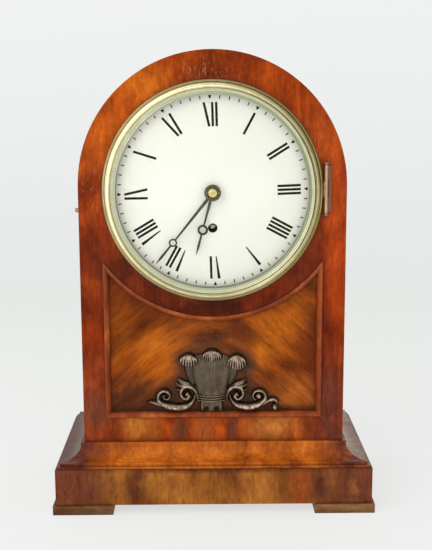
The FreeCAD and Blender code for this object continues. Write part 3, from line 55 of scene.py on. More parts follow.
# ------------------------------------------------------------ materials
class Material:
    """Small helper for node materials: every call adds one node and returns its output."""

    def __init__(self, name):
        self.material = bpy.data.materials.new(name)
        self.material.use_nodes = True
        self.tree = self.material.node_tree
        self.tree.nodes.clear()
        self.out = self.tree.nodes.new("ShaderNodeOutputMaterial")
        self.coords = self.tree.nodes.new("ShaderNodeTexCoord").outputs["Object"]

    def fill(self, socket, item):
        """Link a socket to another one, or give it a value of its own."""
        if isinstance(item, bpy.types.NodeSocket):
            self.tree.links.new(item, socket)
        else:
            socket.default_value = item

    def add(self, kind, values=None, output=0, **settings):
        node = self.tree.nodes.new("ShaderNode" + kind)
        for key, item in settings.items():
            setattr(node, key, item)
        for key, item in (values or {}).items():
            self.fill(node.inputs[key], item)
        return node.outputs[output]

    def axes(self, vector=None):
        """X, Y and Z of a vector, which is the piece's own coordinates unless given."""
        parts = self.tree.nodes.new("ShaderNodeSeparateXYZ")
        self.tree.links.new(vector or self.coords, parts.inputs[0])
        return parts.outputs

    def scaled(self, scale, location=(0, 0, 0), rotation=(0, 0, 0), vector=None):
        return self.add("Mapping", {0: vector or self.coords, 1: location, 2: rotation, 3: scale})

    def noise(self, vector, detail, rough, distort=0.0):
        return self.add("TexNoise", {"Vector": vector, "Scale": 1.0, "Detail": detail,
                                     "Roughness": rough, "Distortion": distort})

    def cloud(self, cells, detail, rough, distort=0.0, seed=(0, 0, 0)):
        """Noise that is the same size every way, in cells to the metre."""
        return self.noise(self.scaled((cells, cells, cells), seed), detail, rough, distort)

    def ramp(self, factor, stops):
        node = self.tree.nodes.new("ShaderNodeValToRGB")
        self.tree.links.new(factor, node.inputs[0])
        ramp = node.color_ramp
        while len(ramp.elements) < len(stops):
            ramp.elements.new(0.5)
        for element, (place, colour) in zip(ramp.elements, stops):
            element.position = place
            element.color = tuple(colour) + (1.0,)
        return node.outputs[0]

    def range(self, value, a, b, c, d):
        return self.add("MapRange", {0: value, 1: a, 2: b, 3: c, 4: d})

    def mix(self, factor, a, b, blend="MIX"):
        node = self.tree.nodes.new("ShaderNodeMix")
        node.data_type = "RGBA"
        node.blend_type = blend
        for index, item in ((0, factor), (6, a), (7, b)):
            self.fill(node.inputs[index], item + (1.0,) if isinstance(item, tuple) else item)
        return node.outputs[2]

    def math(self, operation, a, b=0.0):
        return self.add("Math", {0: a, 1: b}, operation=operation)

    def bump(self, height, strength, distance):
        return self.add("Bump", {"Strength": strength, "Distance": distance, "Height": height})

    def from_axis(self, centre=(0.0, 0.0, DIAL_Z * MM)):
        """Distance in metres from a line along Y, which is the dial's axis unless given."""
        away = self.add("VectorMath", {0: self.coords, 1: centre}, operation="SUBTRACT")
        x, _, z = self.axes(away)
        return self.math("SQRT", self.math("ADD", self.math("MULTIPLY", x, x),
                                           self.math("MULTIPLY", z, z)))

    def finish(self, **values):
        shader = self.tree.nodes.new("ShaderNodeBsdfPrincipled")
        for key, item in values.items():
            self.fill(shader.inputs[key.replace("_", " ")], item)
        self.tree.links.new(shader.outputs[0], self.out.inputs[0])
        return self.material

    def polished(self, colour, metallic, cloud, smooth, dull, height, strength, distance):
        """Metal whose polish follows a cloud from the smooth to the dull roughness."""
        return self.finish(Base_Color=colour, Metallic=metallic,
                           Roughness=self.range(cloud, *BAND, smooth, dull),
                           Normal=self.bump(height, strength, distance))


def rgb(red, green, blue):
    """Linear colour from 8-bit display values."""
    def one(value):
        value /= 255.0
        return value / 12.92 if value <= 0.04045 else ((value + 0.055) / 1.055) ** 2.4
    return (one(red), one(green), one(blue))


# ------------------------------------------------------------ woods
# Layers of a wood: cells to the metre across the grain, the share of that along it, then detail,
# roughness and distortion of the noise. Tones multiply the colour below at each place of a ramp.
MOTTLE = (46, 0.6, 5.0, 0.62, 0.5)
MOTTLE_TONES = [(0.30, (0.56, 0.50, 0.48)), (0.48, (0.94, 0.92, 0.90)), (0.68, (1.22, 1.26, 1.2))]
FIBRE = (110, 0.07, 5.0, 0.62, 0.25)
FIBRE_TONES = [(0.32, (0.50, 0.44, 0.40)), (0.50, (0.92, 0.90, 0.88)), (0.66, (1.18, 1.16, 1.12))]
FLECK = (240, 0.4, 6.0, 0.75, 0.3)
FLECK_TONES = [(0.34, (0.66, 0.58, 0.52)), (0.50, (1.06, 1.02, 0.96)), (0.64, (1.38, 1.32, 1.22))]
FLECK_SHARE = 0.7
PORES = (900, 0.05, 2.0, 0.5, 0.0)
PORE_SHARE = 0.4
PORE_TONE = 0.35
# Grime and painted shade in corners and recesses: the colour, its share and the reach of the
# occlusion that finds them.
GRIME_AND_SHADE = rgb(54, 30, 18)
GRIME_AND_SHADE_SHARE = 0.65
GRIME_AND_SHADE_REACH = 0.011
SCRATCH_CELLS = (1500, 1500, 130)
SCRATCH_TURNS = (0.35, -0.8, 1.25)
THROUGH = 10.0


class Wood:
    """Polished wood: figure, fibres, pores and soft darker or lighter patches, in metres."""

    def __init__(self, name, tones, along, seed, figure, stretch=0.35, contrast=1.0, fan=None):
        """Tones are dark, mid and light; figure and stretch are as in the layers above."""
        self.m = m = Material(name)
        self.seed, self.along = seed, along
        self.source = fan_coords(m, *fan) if fan else m.coords
        dark, mid, light = (rgb(*tone) for tone in tones)
        broad = self.layer(figure, stretch, 3.5, 0.55, 0.7)
        spread = 0.2 / contrast
        self.colour = m.ramp(broad, [(0.5 - spread, dark), (0.5, mid), (0.5 + spread, light)])
        self.pore_colour = tuple(c * PORE_TONE for c in dark)

    def layer(self, cells, stretch, detail, rough, distort):
        """Noise that is drawn out along the grain."""
        scale = [cells * (stretch if axis == self.along else 1.0) for axis in "xyz"]
        vector = self.m.scaled(scale, self.seed, vector=self.source)
        return self.m.noise(vector, detail, rough, distort)

    def patch(self, x, z, half_x, half_z):
        """Soft uneven mask round a point, the same at every depth."""
        m = self.m
        vector = m.add("VectorMath", {0: m.coords, 1: (x, 0, z)}, operation="SUBTRACT")
        vector = m.scaled([1.0 / s for s in (half_x, THROUGH, half_z)], vector=vector)
        ball = m.add("TexGradient", {"Vector": vector}, output=1, gradient_type="SPHERICAL")
        cloud = m.cloud(34.0, 4.0, 0.6, seed=self.seed)
        return m.math("MULTIPLY", ball, m.range(cloud, *BAND, 0.35, 1.65))

    def blend(self, mask, colour):
        self.colour = self.m.mix(self.m.add("Clamp", {0: mask}), self.colour, rgb(*colour))

    def spots(self, rows):
        """Patches of other colours: x, z, half sizes, colour and amount in each row."""
        for *place, colour, amount in rows:
            self.blend(self.m.math("MULTIPLY", self.patch(*place), 1.6 * amount), colour)

    def scratches(self, *place, colour, amount):
        """Short fine marks at several angles inside a patch."""
        m = self.m
        mask = self.patch(*place)
        for turn in SCRATCH_TURNS:
            lines = m.noise(m.scaled(SCRATCH_CELLS, (turn, 0, 0), (0, turn, 0)), 1.0, 0.4)
            self.blend(m.math("MULTIPLY", m.range(lines, 0.70, 0.74, 0.0, amount), mask), colour)

    def finish(self, coat=0.02, rough=0.3, fibre=0.5, mottle=0.5, specular=0.05):
        m = self.m
        wave = self.layer(*FIBRE)
        colour = m.mix(mottle, self.colour, m.ramp(self.layer(*MOTTLE), MOTTLE_TONES), "MULTIPLY")
        colour = m.mix(fibre, colour, m.ramp(wave, FIBRE_TONES), "MULTIPLY")
        colour = m.mix(FLECK_SHARE, colour, m.ramp(self.layer(*FLECK), FLECK_TONES), "MULTIPLY")
        pores = m.range(self.layer(*PORES), 0.60, 0.70, 0.0, PORE_SHARE)
        colour = m.mix(pores, colour, self.pore_colour)
        # Grime and painted shade: darker where ambient occlusion finds corners and recesses, such
        # as round the mount, along the bead and where the bezel meets the front.
        open_air = m.add("AmbientOcclusion", {"Distance": GRIME_AND_SHADE_REACH}, output=1, samples=8)
        colour = m.mix(m.range(open_air, 0.35, 0.95, GRIME_AND_SHADE_SHARE, 0.0), colour, GRIME_AND_SHADE)
        wear = m.cloud(18, 4.0, 0.6, seed=self.seed)
        height = m.math("ADD", m.math("MULTIPLY", pores, -0.6), m.math("MULTIPLY", wave, 0.2))
        return m.finish(Base_Color=colour,
                        Roughness=m.range(wear, *BAND, rough - 0.08, rough + 0.1),
                        Coat_Weight=coat, Coat_Roughness=0.1, Specular_IOR_Level=specular,
                        Normal=m.bump(height, 0.2, 0.0002))


def fan_coords(m, slope, round_off):
    """Coordinates of a crotch figure: streaks run down and outwards from the middle line."""
    x, y, z = m.axes()
    wander = m.cloud(6, 2.0, 0.5)
    side = m.math("ADD", x, m.math("MULTIPLY", wander, 0.02))
    far = m.math("SQRT", m.math("ADD", m.math("MULTIPLY", side, side), round_off ** 2))
    across = m.math("ADD", z, m.math("MULTIPLY", far, slope))
    return m.add("CombineXYZ", {0: side, 1: y, 2: across})


# Rows of x, z, half sizes in metres, 8-bit colour and amount.
FRONT_SPOTS = [
    (-0.066, 0.434, 0.034, 0.034, (212, 112, 26), 0.6),
    (-0.108, 0.398, 0.030, 0.055, (206, 98, 18), 0.6),
    (0.058, 0.440, 0.040, 0.030, (164, 68, 16), 0.4),
    (0.110, 0.385, 0.030, 0.060, (188, 82, 24), 0.5),
    (0.018, 0.458, 0.050, 0.016, (92, 32, 8), 0.4),
    (0.000, 0.440, 0.040, 0.020, (112, 42, 10), 0.6),
    # Painted shade under and beside the lower half of the bezel.
    (0.000, 0.205, 0.130, 0.040, (74, 24, 5), 0.65),
    (-0.085, 0.245, 0.060, 0.060, (92, 32, 5), 0.7),
    (0.092, 0.245, 0.050, 0.060, (104, 34, 6), 0.6),
    (0.126, 0.270, 0.018, 0.100, (168, 60, 8), 0.6),
    (-0.122, 0.100, 0.030, 0.070, (118, 60, 40), 0.6),
    (0.122, 0.100, 0.030, 0.080, (104, 52, 38), 0.7),
    (-0.075, 0.082, 0.030, 0.022, (188, 114, 44), 0.65),
    (-0.036, 0.082, 0.014, 0.022, (104, 58, 34), 0.65),
    (-0.008, 0.082, 0.020, 0.022, (150, 80, 38), 0.65),
    (0.020, 0.082, 0.012, 0.022, (98, 52, 38), 0.65),
    (0.062, 0.082, 0.042, 0.022, (196, 120, 54), 0.65),
    (0.100, 0.082, 0.014, 0.022, (110, 52, 30), 0.65),
]
PANEL_SPOTS = [
    (0.078, 0.196, 0.030, 0.050, (188, 98, 16), 0.4),
    (0.050, 0.165, 0.030, 0.030, (192, 104, 20), 0.5),
    (-0.060, 0.168, 0.030, 0.022, (186, 104, 26), 0.45),
    (-0.090, 0.190, 0.020, 0.050, (150, 74, 10), 0.4),
    (0.004, 0.180, 0.060, 0.024, (88, 44, 20), 0.6),
    (-0.080, 0.215, 0.030, 0.030, (104, 44, 6), 0.6),
    (0.100, 0.150, 0.020, 0.050, (110, 46, 10), 0.6),
    (-0.038, 0.196, 0.030, 0.016, (100, 48, 16), 0.4),
    (-0.002, 0.136, 0.052, 0.048, (76, 54, 42), 0.8),
    (-0.046, 0.112, 0.040, 0.026, (76, 54, 42), 0.8),
    (0.040, 0.112, 0.034, 0.026, (76, 54, 42), 0.8),
    (-0.026, 0.150, 0.020, 0.020, (76, 54, 42), 0.8),
    (0.028, 0.148, 0.022, 0.022, (76, 54, 42), 0.8),
    (-0.086, 0.112, 0.050, 0.036, (92, 46, 22), 0.9),
    (0.084, 0.116, 0.034, 0.030, (170, 92, 34), 0.6),
    (0.000, 0.098, 0.160, 0.010, (48, 30, 22), 0.9),
]
PLINTH_SPOTS = [
    (-0.150, 0.030, 0.055, 0.050, (110, 58, 40), 0.9),
    (0.150, 0.030, 0.055, 0.050, (110, 58, 40), 0.9),
    (-0.078, 0.030, 0.014, 0.040, (92, 46, 30), 0.7),
    (0.108, 0.030, 0.014, 0.040, (88, 44, 32), 0.7),
    (0.088, 0.030, 0.016, 0.040, (150, 72, 30), 0.7),
    (0.000, 0.048, 0.200, 0.006, (84, 44, 28), 0.7),
]
DUST = (176, 148, 130)
# Key: material name, dark, mid and light tone, grain axis, seed, figure, values of the finish.
PLAIN_WOODS = {
    "side": ("SideVeneer", ((96, 34, 10), (136, 54, 14), (158, 72, 22)), "z", (2.0, 3.0, 1.0),
             16.0, {}),
    "top": ("TopVeneer", ((96, 34, 10), (136, 54, 14), (158, 72, 22)), "x", (2.0, 1.0, 7.0),
            16.0, {}),
    "bead": ("BeadWood", ((112, 46, 14), (146, 66, 24), (176, 92, 40)), "z", (0.7, 1.2, 3.0),
             30.0, {"rough": 0.26, "coat": 0.1, "specular": 0.16, "mottle": 0.4}),
    "foot": ("FootWood", ((98, 64, 40), (128, 90, 60), (152, 112, 76)), "x", (1.0, 0.4, 0.1),
             30.0, {"rough": 0.5, "coat": 0.05}),
    "pine": ("CarcaseWood", ((150, 104, 60), (186, 140, 88), (204, 164, 112)), "x",
             (1.0, 2.4, 0.1), 14.0, {"rough": 0.6, "coat": 0.0}),
    "back": ("BackWood", ((78, 34, 14), (118, 58, 24), (144, 78, 36)), "z", (2.2, 1.4, 0.1),
             14.0, {"rough": 0.42, "coat": 0.05}),
}


def front_wood():
    """Straight-grained veneer of the frame, with painted shade under the bezel, and worn light at
    the edges.
    """
    w = Wood("FrontVeneer", ((100, 30, 4), (140, 50, 6), (172, 72, 12)), "z", (1.3, 0.0, 4.1),
             26.0, stretch=0.5, contrast=1.5)
    w.spots(FRONT_SPOTS)
    w.scratches(-0.004, 0.444, 0.040, 0.022, colour=(222, 170, 130), amount=1.0)
    w.scratches(-0.120, 0.330, 0.020, 0.060, colour=(206, 130, 80), amount=0.6)
    return w.finish(mottle=0.55)


def panel_wood():
    """Crotch figure with dark polish gathered round the mount, and darker in the corners and along
    the foot of the panel.
    """
    w = Wood("PanelVeneer", ((92, 38, 5), (132, 60, 8), (172, 86, 14)), "x", (5.2, 0.0, 2.7),
             24.0, stretch=0.3, contrast=1.3, fan=(0.85, 0.02))
    w.spots(PANEL_SPOTS)
    w.scratches(0.072, 0.170, 0.030, 0.050, colour=(226, 160, 70), amount=0.5)
    return w.finish(mottle=0.6, fibre=0.45)


def plinth_wood(name, seed):
    """Browner veneer in vertical leaves, dark at the corners and under the moulding."""
    w = Wood(name, ((106, 58, 26), (152, 92, 38), (178, 116, 50)), "z", seed, 22.0,
             stretch=0.5, contrast=1.2)
    w.spots(PLINTH_SPOTS)
    return w.finish()


def moulding_wood(name, tones, end, dusty_x):
    """Polished cove, redder and duller towards the mitres, with dust on one side."""
    w = Wood(name, tones, "z", (3.4, 0.2, 1.5), 30.0, stretch=0.6)
    w.spots([(-0.150, 0.058, 0.045, 0.050, end, 1.0), (0.150, 0.058, 0.045, 0.050, end, 1.0),
             (dusty_x, 0.058, 0.050, 0.050, DUST, 0.55)])
    return w.finish(rough=0.24, coat=0.05, specular=0.09, mottle=0.22)


# ------------------------------------------------------------ metals, paint, glass
# Key: material name, colour, tarnish, then the values of metal() that differ.
PLAIN_METALS = {
    "movement_brass": ("MovementBrass", (212, 178, 96), (150, 116, 56),
                       {"cells": 40, "grain": (40, 40, 1500)}),
    "steel": ("PolishedSteel", (150, 148, 144), (92, 84, 76), {"amount": 0.4, "cells": 80}),
    "arbor": ("ArborSteel", (226, 222, 206), (120, 116, 104),
              {"rough": 0.35, "cells": 500, "metallic": 0.3}),
    "blued": ("BluedSteel", (66, 62, 44), (36, 32, 24),
              {"rough": 0.38, "amount": 0.7, "cells": 120, "metallic": 0.7}),
    "spring": ("SpringSteel", (104, 110, 130), (60, 62, 80),
               {"rough": 0.25, "amount": 0.4, "cells": 90}),
}


def metal(name, colour, tarnish_and_shade, cells, rough=0.3, amount=0.5, metallic=1.0,
          grain=(900, 900, 900)):
    m = Material(name)
    cloud = m.cloud(cells, 5.0, 0.65, 0.4)
    mixed = m.mix(m.range(cloud, 0.35, 0.72, 0.0, amount), rgb(*colour), rgb(*tarnish_and_shade))
    fine = m.noise(m.scaled(grain), 3.0, 0.6)
    return m.polished(mixed, metallic, cloud, rough - 0.06, rough + 0.12, fine, 0.08, 0.0001)


def bronze():
    """Dark patina and painted shade in the hollows, rubbed bright with painted highlights where
    the relief stands proud.
    """
    m = Material("CrestBronze")
    cloud = m.cloud(90, 5.0, 0.6, 0.5)
    colour = m.ramp(cloud, [(0.30, rgb(80, 66, 52)), (0.55, rgb(112, 98, 78)),
                            (0.75, rgb(98, 104, 80))])
    proud = m.math("SUBTRACT", (FRONT + PANEL_DEPTH) * MM, m.axes()[1])
    # Patina and painted shade: darker the deeper the relief lies towards the panel.
    colour = m.mix(m.range(proud, 0.0008, 0.0060, 0.85, 0.0), colour, rgb(44, 38, 30))
    worn = m.cloud(260, 3.0, 0.6)
    # Rubbed wear and painted highlight on the proudest parts.
    rubbed_and_highlight = m.math("MULTIPLY", m.range(proud, 0.0045, 0.0076, 0.0, 1.0),
                    m.range(worn, 0.40, 0.60, 0.1, 1.0))
    colour = m.mix(rubbed_and_highlight, colour, rgb(220, 196, 176))
    # Rubbed wear and painted highlight along sharp edges.
    edge = m.tree.nodes.new("ShaderNodeNewGeometry").outputs["Pointiness"]
    colour = m.mix(m.range(edge, 0.52, 0.62, 0.0, 0.5), colour, rgb(190, 166, 142))
    return m.polished(colour, 0.85, cloud, 0.18, 0.34, worn, 0.5, 0.0012)


def bezel_brass():
    """Pale polished half-round, with painted shade on the flange and at its inner edge, and
    tarnish painted as shade towards the right and the foot.
    """
    m = Material("BezelBrass")
    cloud = m.cloud(45, 5.0, 0.65, 0.4)
    colour = m.mix(m.range(cloud, 0.42, 0.75, 0.0, 0.55), rgb(244, 234, 186), rgb(186, 174, 114))
    radius = m.from_axis()
    # Painted shade on the flange and at the inner edge of the half-round, beside the sight ring.
    corners = m.math("ADD", m.range(radius, 0.1070, 0.1075, 0.0, 0.72),
                     m.range(radius, 0.1019, 0.1015, 0.0, 0.8))
    colour = m.mix(corners, colour, rgb(104, 84, 42))
    x, _, z = m.axes()
    # Tarnish colour painted as shade, heavier towards the right and the foot.
    tarnish_and_shade = m.math("MAXIMUM", m.range(x, 0.0, 0.090, 0.0, 0.8),
                     m.range(z, 0.30, 0.225, 0.0, 0.5))
    colour = m.mix(tarnish_and_shade, colour, rgb(112, 102, 56))
    return m.polished(colour, 1.0, cloud, 0.2, 0.36, m.cloud(900, 3.0, 0.6), 0.08, 0.0001)


def silver_ring():
    """Silvered sight ring, grey-green with painted shade in its inner groove, heavier towards the
    right, and cream on the outer lip.
    """
    m = Material("SilveredRing")
    cloud = m.cloud(70, 5.0, 0.65, 0.4)
    colour = m.mix(cloud, rgb(228, 228, 204), rgb(196, 196, 160))
    # Painted shade in the inner groove, heavier towards the right.
    groove_shade = m.math("MULTIPLY", m.range(m.from_axis(), 0.0982, 0.0994, 1.0, 0.0),
                    m.range(m.axes()[0], -0.06, 0.09, 0.25, 0.85))
    colour = m.mix(groove_shade, colour, rgb(142, 148, 106))
    return m.polished(colour, 0.6, cloud, 0.3, 0.45, cloud, 0.08, 0.0002)


def plate_brass():
    """Brass of the front plate, painted black round the winding square as the shade of the winding
    hole.
    """
    m = Material("FrontPlateBrass")
    cloud = m.cloud(60, 5.0, 0.65, 0.4)
    colour = m.mix(cloud, rgb(206, 168, 88), rgb(150, 112, 52))
    # Painted shade: the darkness of the winding hole painted black on the plate behind it.
    winding_hole_shade = m.range(m.from_axis((0.0, 0.0, WINDING_Z * MM)), 0.0060, 0.0105, 1.0, 0.0)
    colour = m.mix(winding_hole_shade, colour, rgb(16, 14, 10))
    return m.polished(colour, m.range(winding_hole_shade, 0.0, 1.0, 0.9, 0.1), cloud, 0.28, 0.45, cloud, 0.1,
                      0.0002)


def hinge_brass():
    """Coppery knuckles, with the leaf beside them nearly the colour of the wood."""
    m = Material("HingeBrass")
    cloud = m.cloud(140, 4.0, 0.6)
    colour = m.mix(cloud, rgb(214, 170, 138), rgb(142, 98, 62))
    leaf = m.range(m.axes()[0], 0.1148, 0.1154, 0.0, 0.85)
    colour = m.mix(leaf, colour, rgb(96, 34, 10))
    return m.polished(colour, m.range(leaf, 0.0, 0.85, 0.85, 0.0), cloud, 0.26, 0.42, cloud, 0.15,
                      0.0003)


def boss_brass():
    """Dark lacquered collar with a bright end."""
    m = Material("BossBrass")
    cloud = m.cloud(300, 4.0, 0.6)
    corners = np.array([tuple(c) for c in NODES["hand_collet"].bound_box])
    middle = (corners.min(axis=0) + corners.max(axis=0)) / 2
    radius = m.from_axis((middle[0], 0.0, middle[2]))
    dark = m.mix(cloud, rgb(92, 84, 44), rgb(58, 52, 30))
    colour = m.mix(m.range(radius, 0.0040, 0.0045, 0.0, 1.0), rgb(214, 208, 150), dark)
    return m.polished(colour, 0.9, cloud, 0.22, 0.4, cloud, 0.1, 0.0002)


def dial_paint():
    """Aged white paint, with painted shade towards the edge and a dark margin that is partly the
    bare edge of the plate and partly painted shade.
    """
    m = Material("DialPaint")
    cloud = m.cloud(9, 3.0, 0.5)
    colour = m.mix(m.range(cloud, 0.35, 0.7, 0.0, 0.5), rgb(250, 249, 242), rgb(244, 242, 230))
    speck = m.cloud(520, 2.0, 0.5)
    colour = m.mix(m.range(speck, 0.74, 0.8, 0.0, 0.3), colour, rgb(200, 190, 160))
    radius = m.from_axis()
    # Painted shade from the bezel towards the edge of the dial.
    colour = m.mix(m.range(radius, 0.0880, 0.0962, 0.0, 0.25), colour, rgb(222, 220, 202))
    # Dark margin: the bare edge of the plate, partly painted shade.
    colour = m.mix(m.range(radius, 0.0958, 0.0968, 0.0, 0.6), colour, rgb(150, 150, 116))
    return m.finish(Base_Color=colour, Roughness=0.42, Coat_Weight=0.15, Coat_Roughness=0.2,
                    Specular_IOR_Level=0.35, Normal=m.bump(cloud, 0.05, 0.0005))


def ink(name, colour, worn_share):
    m = Material(name)
    wear = m.range(m.cloud(380, 4.0, 0.6), 0.5, 0.75, 0.0, worn_share)
    return m.finish(Base_Color=m.mix(wear, rgb(*colour), rgb(222, 218, 206)), Roughness=0.6,
                    Specular_IOR_Level=0.04)


def glass():
    """Thin clear glass that lets the light through to the dial."""
    m = Material("ClockGlass")
    smear = m.range(m.cloud(7, 3.0, 0.6), *BAND, 0.05, 0.12)
    clear = m.add("BsdfTransparent", {0: (0.99, 0.995, 0.985, 1.0)})
    gloss = m.add("BsdfGlossy", {"Color": (1, 1, 1, 1), "Roughness": smear})
    facing = m.math("MULTIPLY", m.add("Fresnel", {"IOR": 1.3}), 0.35)
    m.fill(m.out.inputs[0], m.add("MixShader", {0: facing, 1: clear, 2: gloss}))
    return m.material


def make_materials():
    mats = {
        "front": front_wood(),
        "panel": panel_wood(),
        "plinth": plinth_wood("PlinthVeneer", (0.4, 2.0, 5.5)),
        "plinth_side": plinth_wood("PlinthSideVeneer", (6.4, 2.0, 5.5)),
        "mould": moulding_wood("MouldingWood", ((142, 68, 18), (194, 102, 28), (224, 130, 44)),
                               (104, 48, 34), 0.9),
        "mould_side": moulding_wood("MouldingSideWood",
                                    ((84, 48, 34), (110, 70, 48), (132, 92, 66)),
                                    (96, 62, 48), 0.15),
        "brass": hinge_brass(),
        "plate": plate_brass(),
        "bezel": bezel_brass(),
        "boss": boss_brass(),
        "silver": silver_ring(),
        "bronze": bronze(),
        "dial": dial_paint(),
        "ink": ink("DialInk", (20, 22, 14), 0.05),
        "hair": ink("DialHairline", (176, 172, 160), 0.55),
        "glass": glass(),
    }
    for key, (name, tones, along, seed, figure, values) in PLAIN_WOODS.items():
        mats[key] = Wood(name, tones, along, seed, figure).finish(**values)
    for key, (name, colour, tarnish_and_shade, values) in PLAIN_METALS.items():
        mats[key] = metal(name, colour, tarnish_and_shade, **values)
    return mats


MATS = make_materials()


# ------------------------------------------------------------ mesh helpers
def make(name, points, faces, body, material, smooth, replaces=(), slot=None):
    """Mesh from millimetre points, riding on a body."""
    data = bpy.data.meshes.new(name)
    data.from_pydata([tuple(c * MM for c in p) for p in points], [], faces)
    data.validate()
    data.update()
    item = bpy.data.objects.new(name, data)
    bpy.context.scene.collection.objects.link(item)
    data.materials.append(MATS[material])
    shade(item, smooth)
    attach(item, body)
    if replaces:
        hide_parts(*replaces)


def shade(item, angle):
    """Smooth faces, sharp where they meet at more than the angle in degrees."""
    for face in item.data.polygons:
        face.use_smooth = True
    item.data.set_sharp_from_angle(angle=math.radians(angle))


def turned(profile, steps, closed):
    """Points and faces of a profile of (radius, depth) turned about the dial's axis."""
    points, faces = [], []
    count = len(profile)
    for step in range(steps):
        angle = 2 * math.pi * step / steps
        for radius, depth in profile:
            points.append((radius * math.sin(angle), FRONT + depth,
                           DIAL_Z + radius * math.cos(angle)))
    for step in range(steps):
        one, two = step * count, ((step + 1) % steps) * count
        for index in range(count if closed else count - 1):
            after = (index + 1) % count
            faces.append((one + index, two + index, two + after, one + after))
    return points, faces


# ------------------------------------------------------------ carried pieces
CARRIED = {
    "front": ["front_board"], "side": ["case_sides"], "top": ["arch_top"],
    "back": ["back_frame", "back_door"], "plinth": ["plinth_front"],
    "plinth_side": ["plinth_sides"], "mould": ["moulding_front"], "mould_side": ["moulding_sides"],
    "bead": ["panel_bead"], "foot": ["feet"], "panel": ["front_panel"],
    "pine": ["plinth_back", "bottom_board", "seat_board", "seat_cheeks"],
    "dial": ["dial_plate"], "blued": ["minute_hand", "hour_hand"], "bronze": ["crest_mount"],
    "brass": ["bezel_hinge", "bezel_tab", "bezel_fork", "button_bush", "push_button", "bezel_ring",
              "frame_hinges", "door_hinge_leaves", "door_turn"],
    "boss": ["hand_collet"], "arbor": ["fusee_arbor"], "plate": ["movement_front_plate"],
    "silver": ["sight_ring"], "glass": ["bezel_glass", "back_door_pane"],
    "movement_brass": ["movement_back_plate", "movement_pillars", "motion_bridge", "back_cock",
                       "cannon_wheel", "minute_wheel", "hour_wheel", "fusee", "barrel",
                       "centre_wheel", "third_wheel", "scape_wheel", "pendulum_bob", "rating_nut"],
    "steel": ["seat_bolts", "movement_screws", "barrel_arbor", "minute_post", "anchor", "crutch",
              "pendulum_rod", "hand_pin", "dial_feet"],
    "spring": ["suspension_spring"],
}
# Widths of the softened edges in millimetres. The fine ones take two segments, the rest three.
BEVELS = {"front_board": 0.9, "case_sides": 0.5, "arch_top": 0.5, "back_frame": 0.8,
          "back_door": 0.8, "plinth_front": 0.7, "plinth_sides": 0.7, "feet": 0.7,
          "moulding_front": 0.25, "moulding_sides": 0.25, "seat_board": 0.5, "minute_hand": 0.12,
          "hour_hand": 0.12, "movement_back_plate": 0.3, "back_cock": 0.3, "bezel_hinge": 0.2,
          "hand_collet": 0.2}
FINE_BEVEL = 0.3
NODE_SMOOTH, BEVEL_ANGLE = 32.0, 35.0


def dress_nodes():
    for material, names in CARRIED.items():
        for name in names:
            node = NODES[name]
            node.data.materials.clear()
            node.data.materials.append(MATS[material])
            shade(node, NODE_SMOOTH)
            if name in BEVELS:
                bevel(node, BEVELS[name])


def bevel(item, width):
    modifier = item.modifiers.new("Bevel", "BEVEL")
    modifier.width = width * MM
    modifier.segments = 3 if width > FINE_BEVEL else 2
    modifier.limit_method = "ANGLE"
    modifier.angle_limit = math.radians(BEVEL_ANGLE)
    modifier.harden_normals = True
    modifier.use_clamp_overlap = True


# ------------------------------------------------------------ bezel and glass
HALF_ROUND_IN, HALF_ROUND_OUT, HALF_ROUND_CROWN = 101.6, 107.3, -9.8
RING_STEPS, RING_SMOOTH = 256, 35.0
# (radius, depth) from the seat of the bezel outwards, up to where the half-round starts.
FLANGE = [(99.0, -3.3), (99.0, -0.3), (110.1, -0.3), (110.3, -0.5), (110.3, -1.2), (110.1, -1.5),
          (109.6, -1.65), (108.2, -1.8), (107.7, -1.55), (107.3, -1.9), (107.3, -2.4)]
SIGHT_RING = [(96.6, -6.4), (96.6, -6.9), (96.8, -7.15), (97.3, -7.3), (97.7, -7.15),
              (97.85, -6.85), (98.1, -6.85), (98.3, -7.15), (99.4, -7.6), (99.7, -7.4),
              (99.95, -7.4), (100.2, -7.95), (100.7, -8.7), (101.1, -8.9), (101.4, -8.8),
              (101.55, -8.5), (101.55, -5.5), (99.8, -5.5)]
GLASS_RADIUS, GLASS_CROWN, GLASS_RISE, GLASS_THICK = 99.8, -20.0, 14.7, 2.0
GLASS_ROWS, GLASS_STEPS, GLASS_SMOOTH = 24, 128, 60.0


def bezel():
    radius = (HALF_ROUND_OUT - HALF_ROUND_IN) / 2
    angles = [math.pi * k / 24 for k in range(25)]
    arch = [(HALF_ROUND_IN + radius * (1 + math.cos(a)),
             HALF_ROUND_CROWN + radius * (1 - math.sin(a))) for a in angles]
    profile = FLANGE + arch + [(HALF_ROUND_IN, FLANGE[0][1])]
    for name, rows, material, node, slot in (
            ("Bezel", profile, "bezel", "bezel_ring", "brass"),
            ("SightRing", SIGHT_RING, "silver", "sight_ring", "silvered")):
        make(name, *turned(rows, RING_STEPS, True), "bezel", material, RING_SMOOTH, (node,), slot)


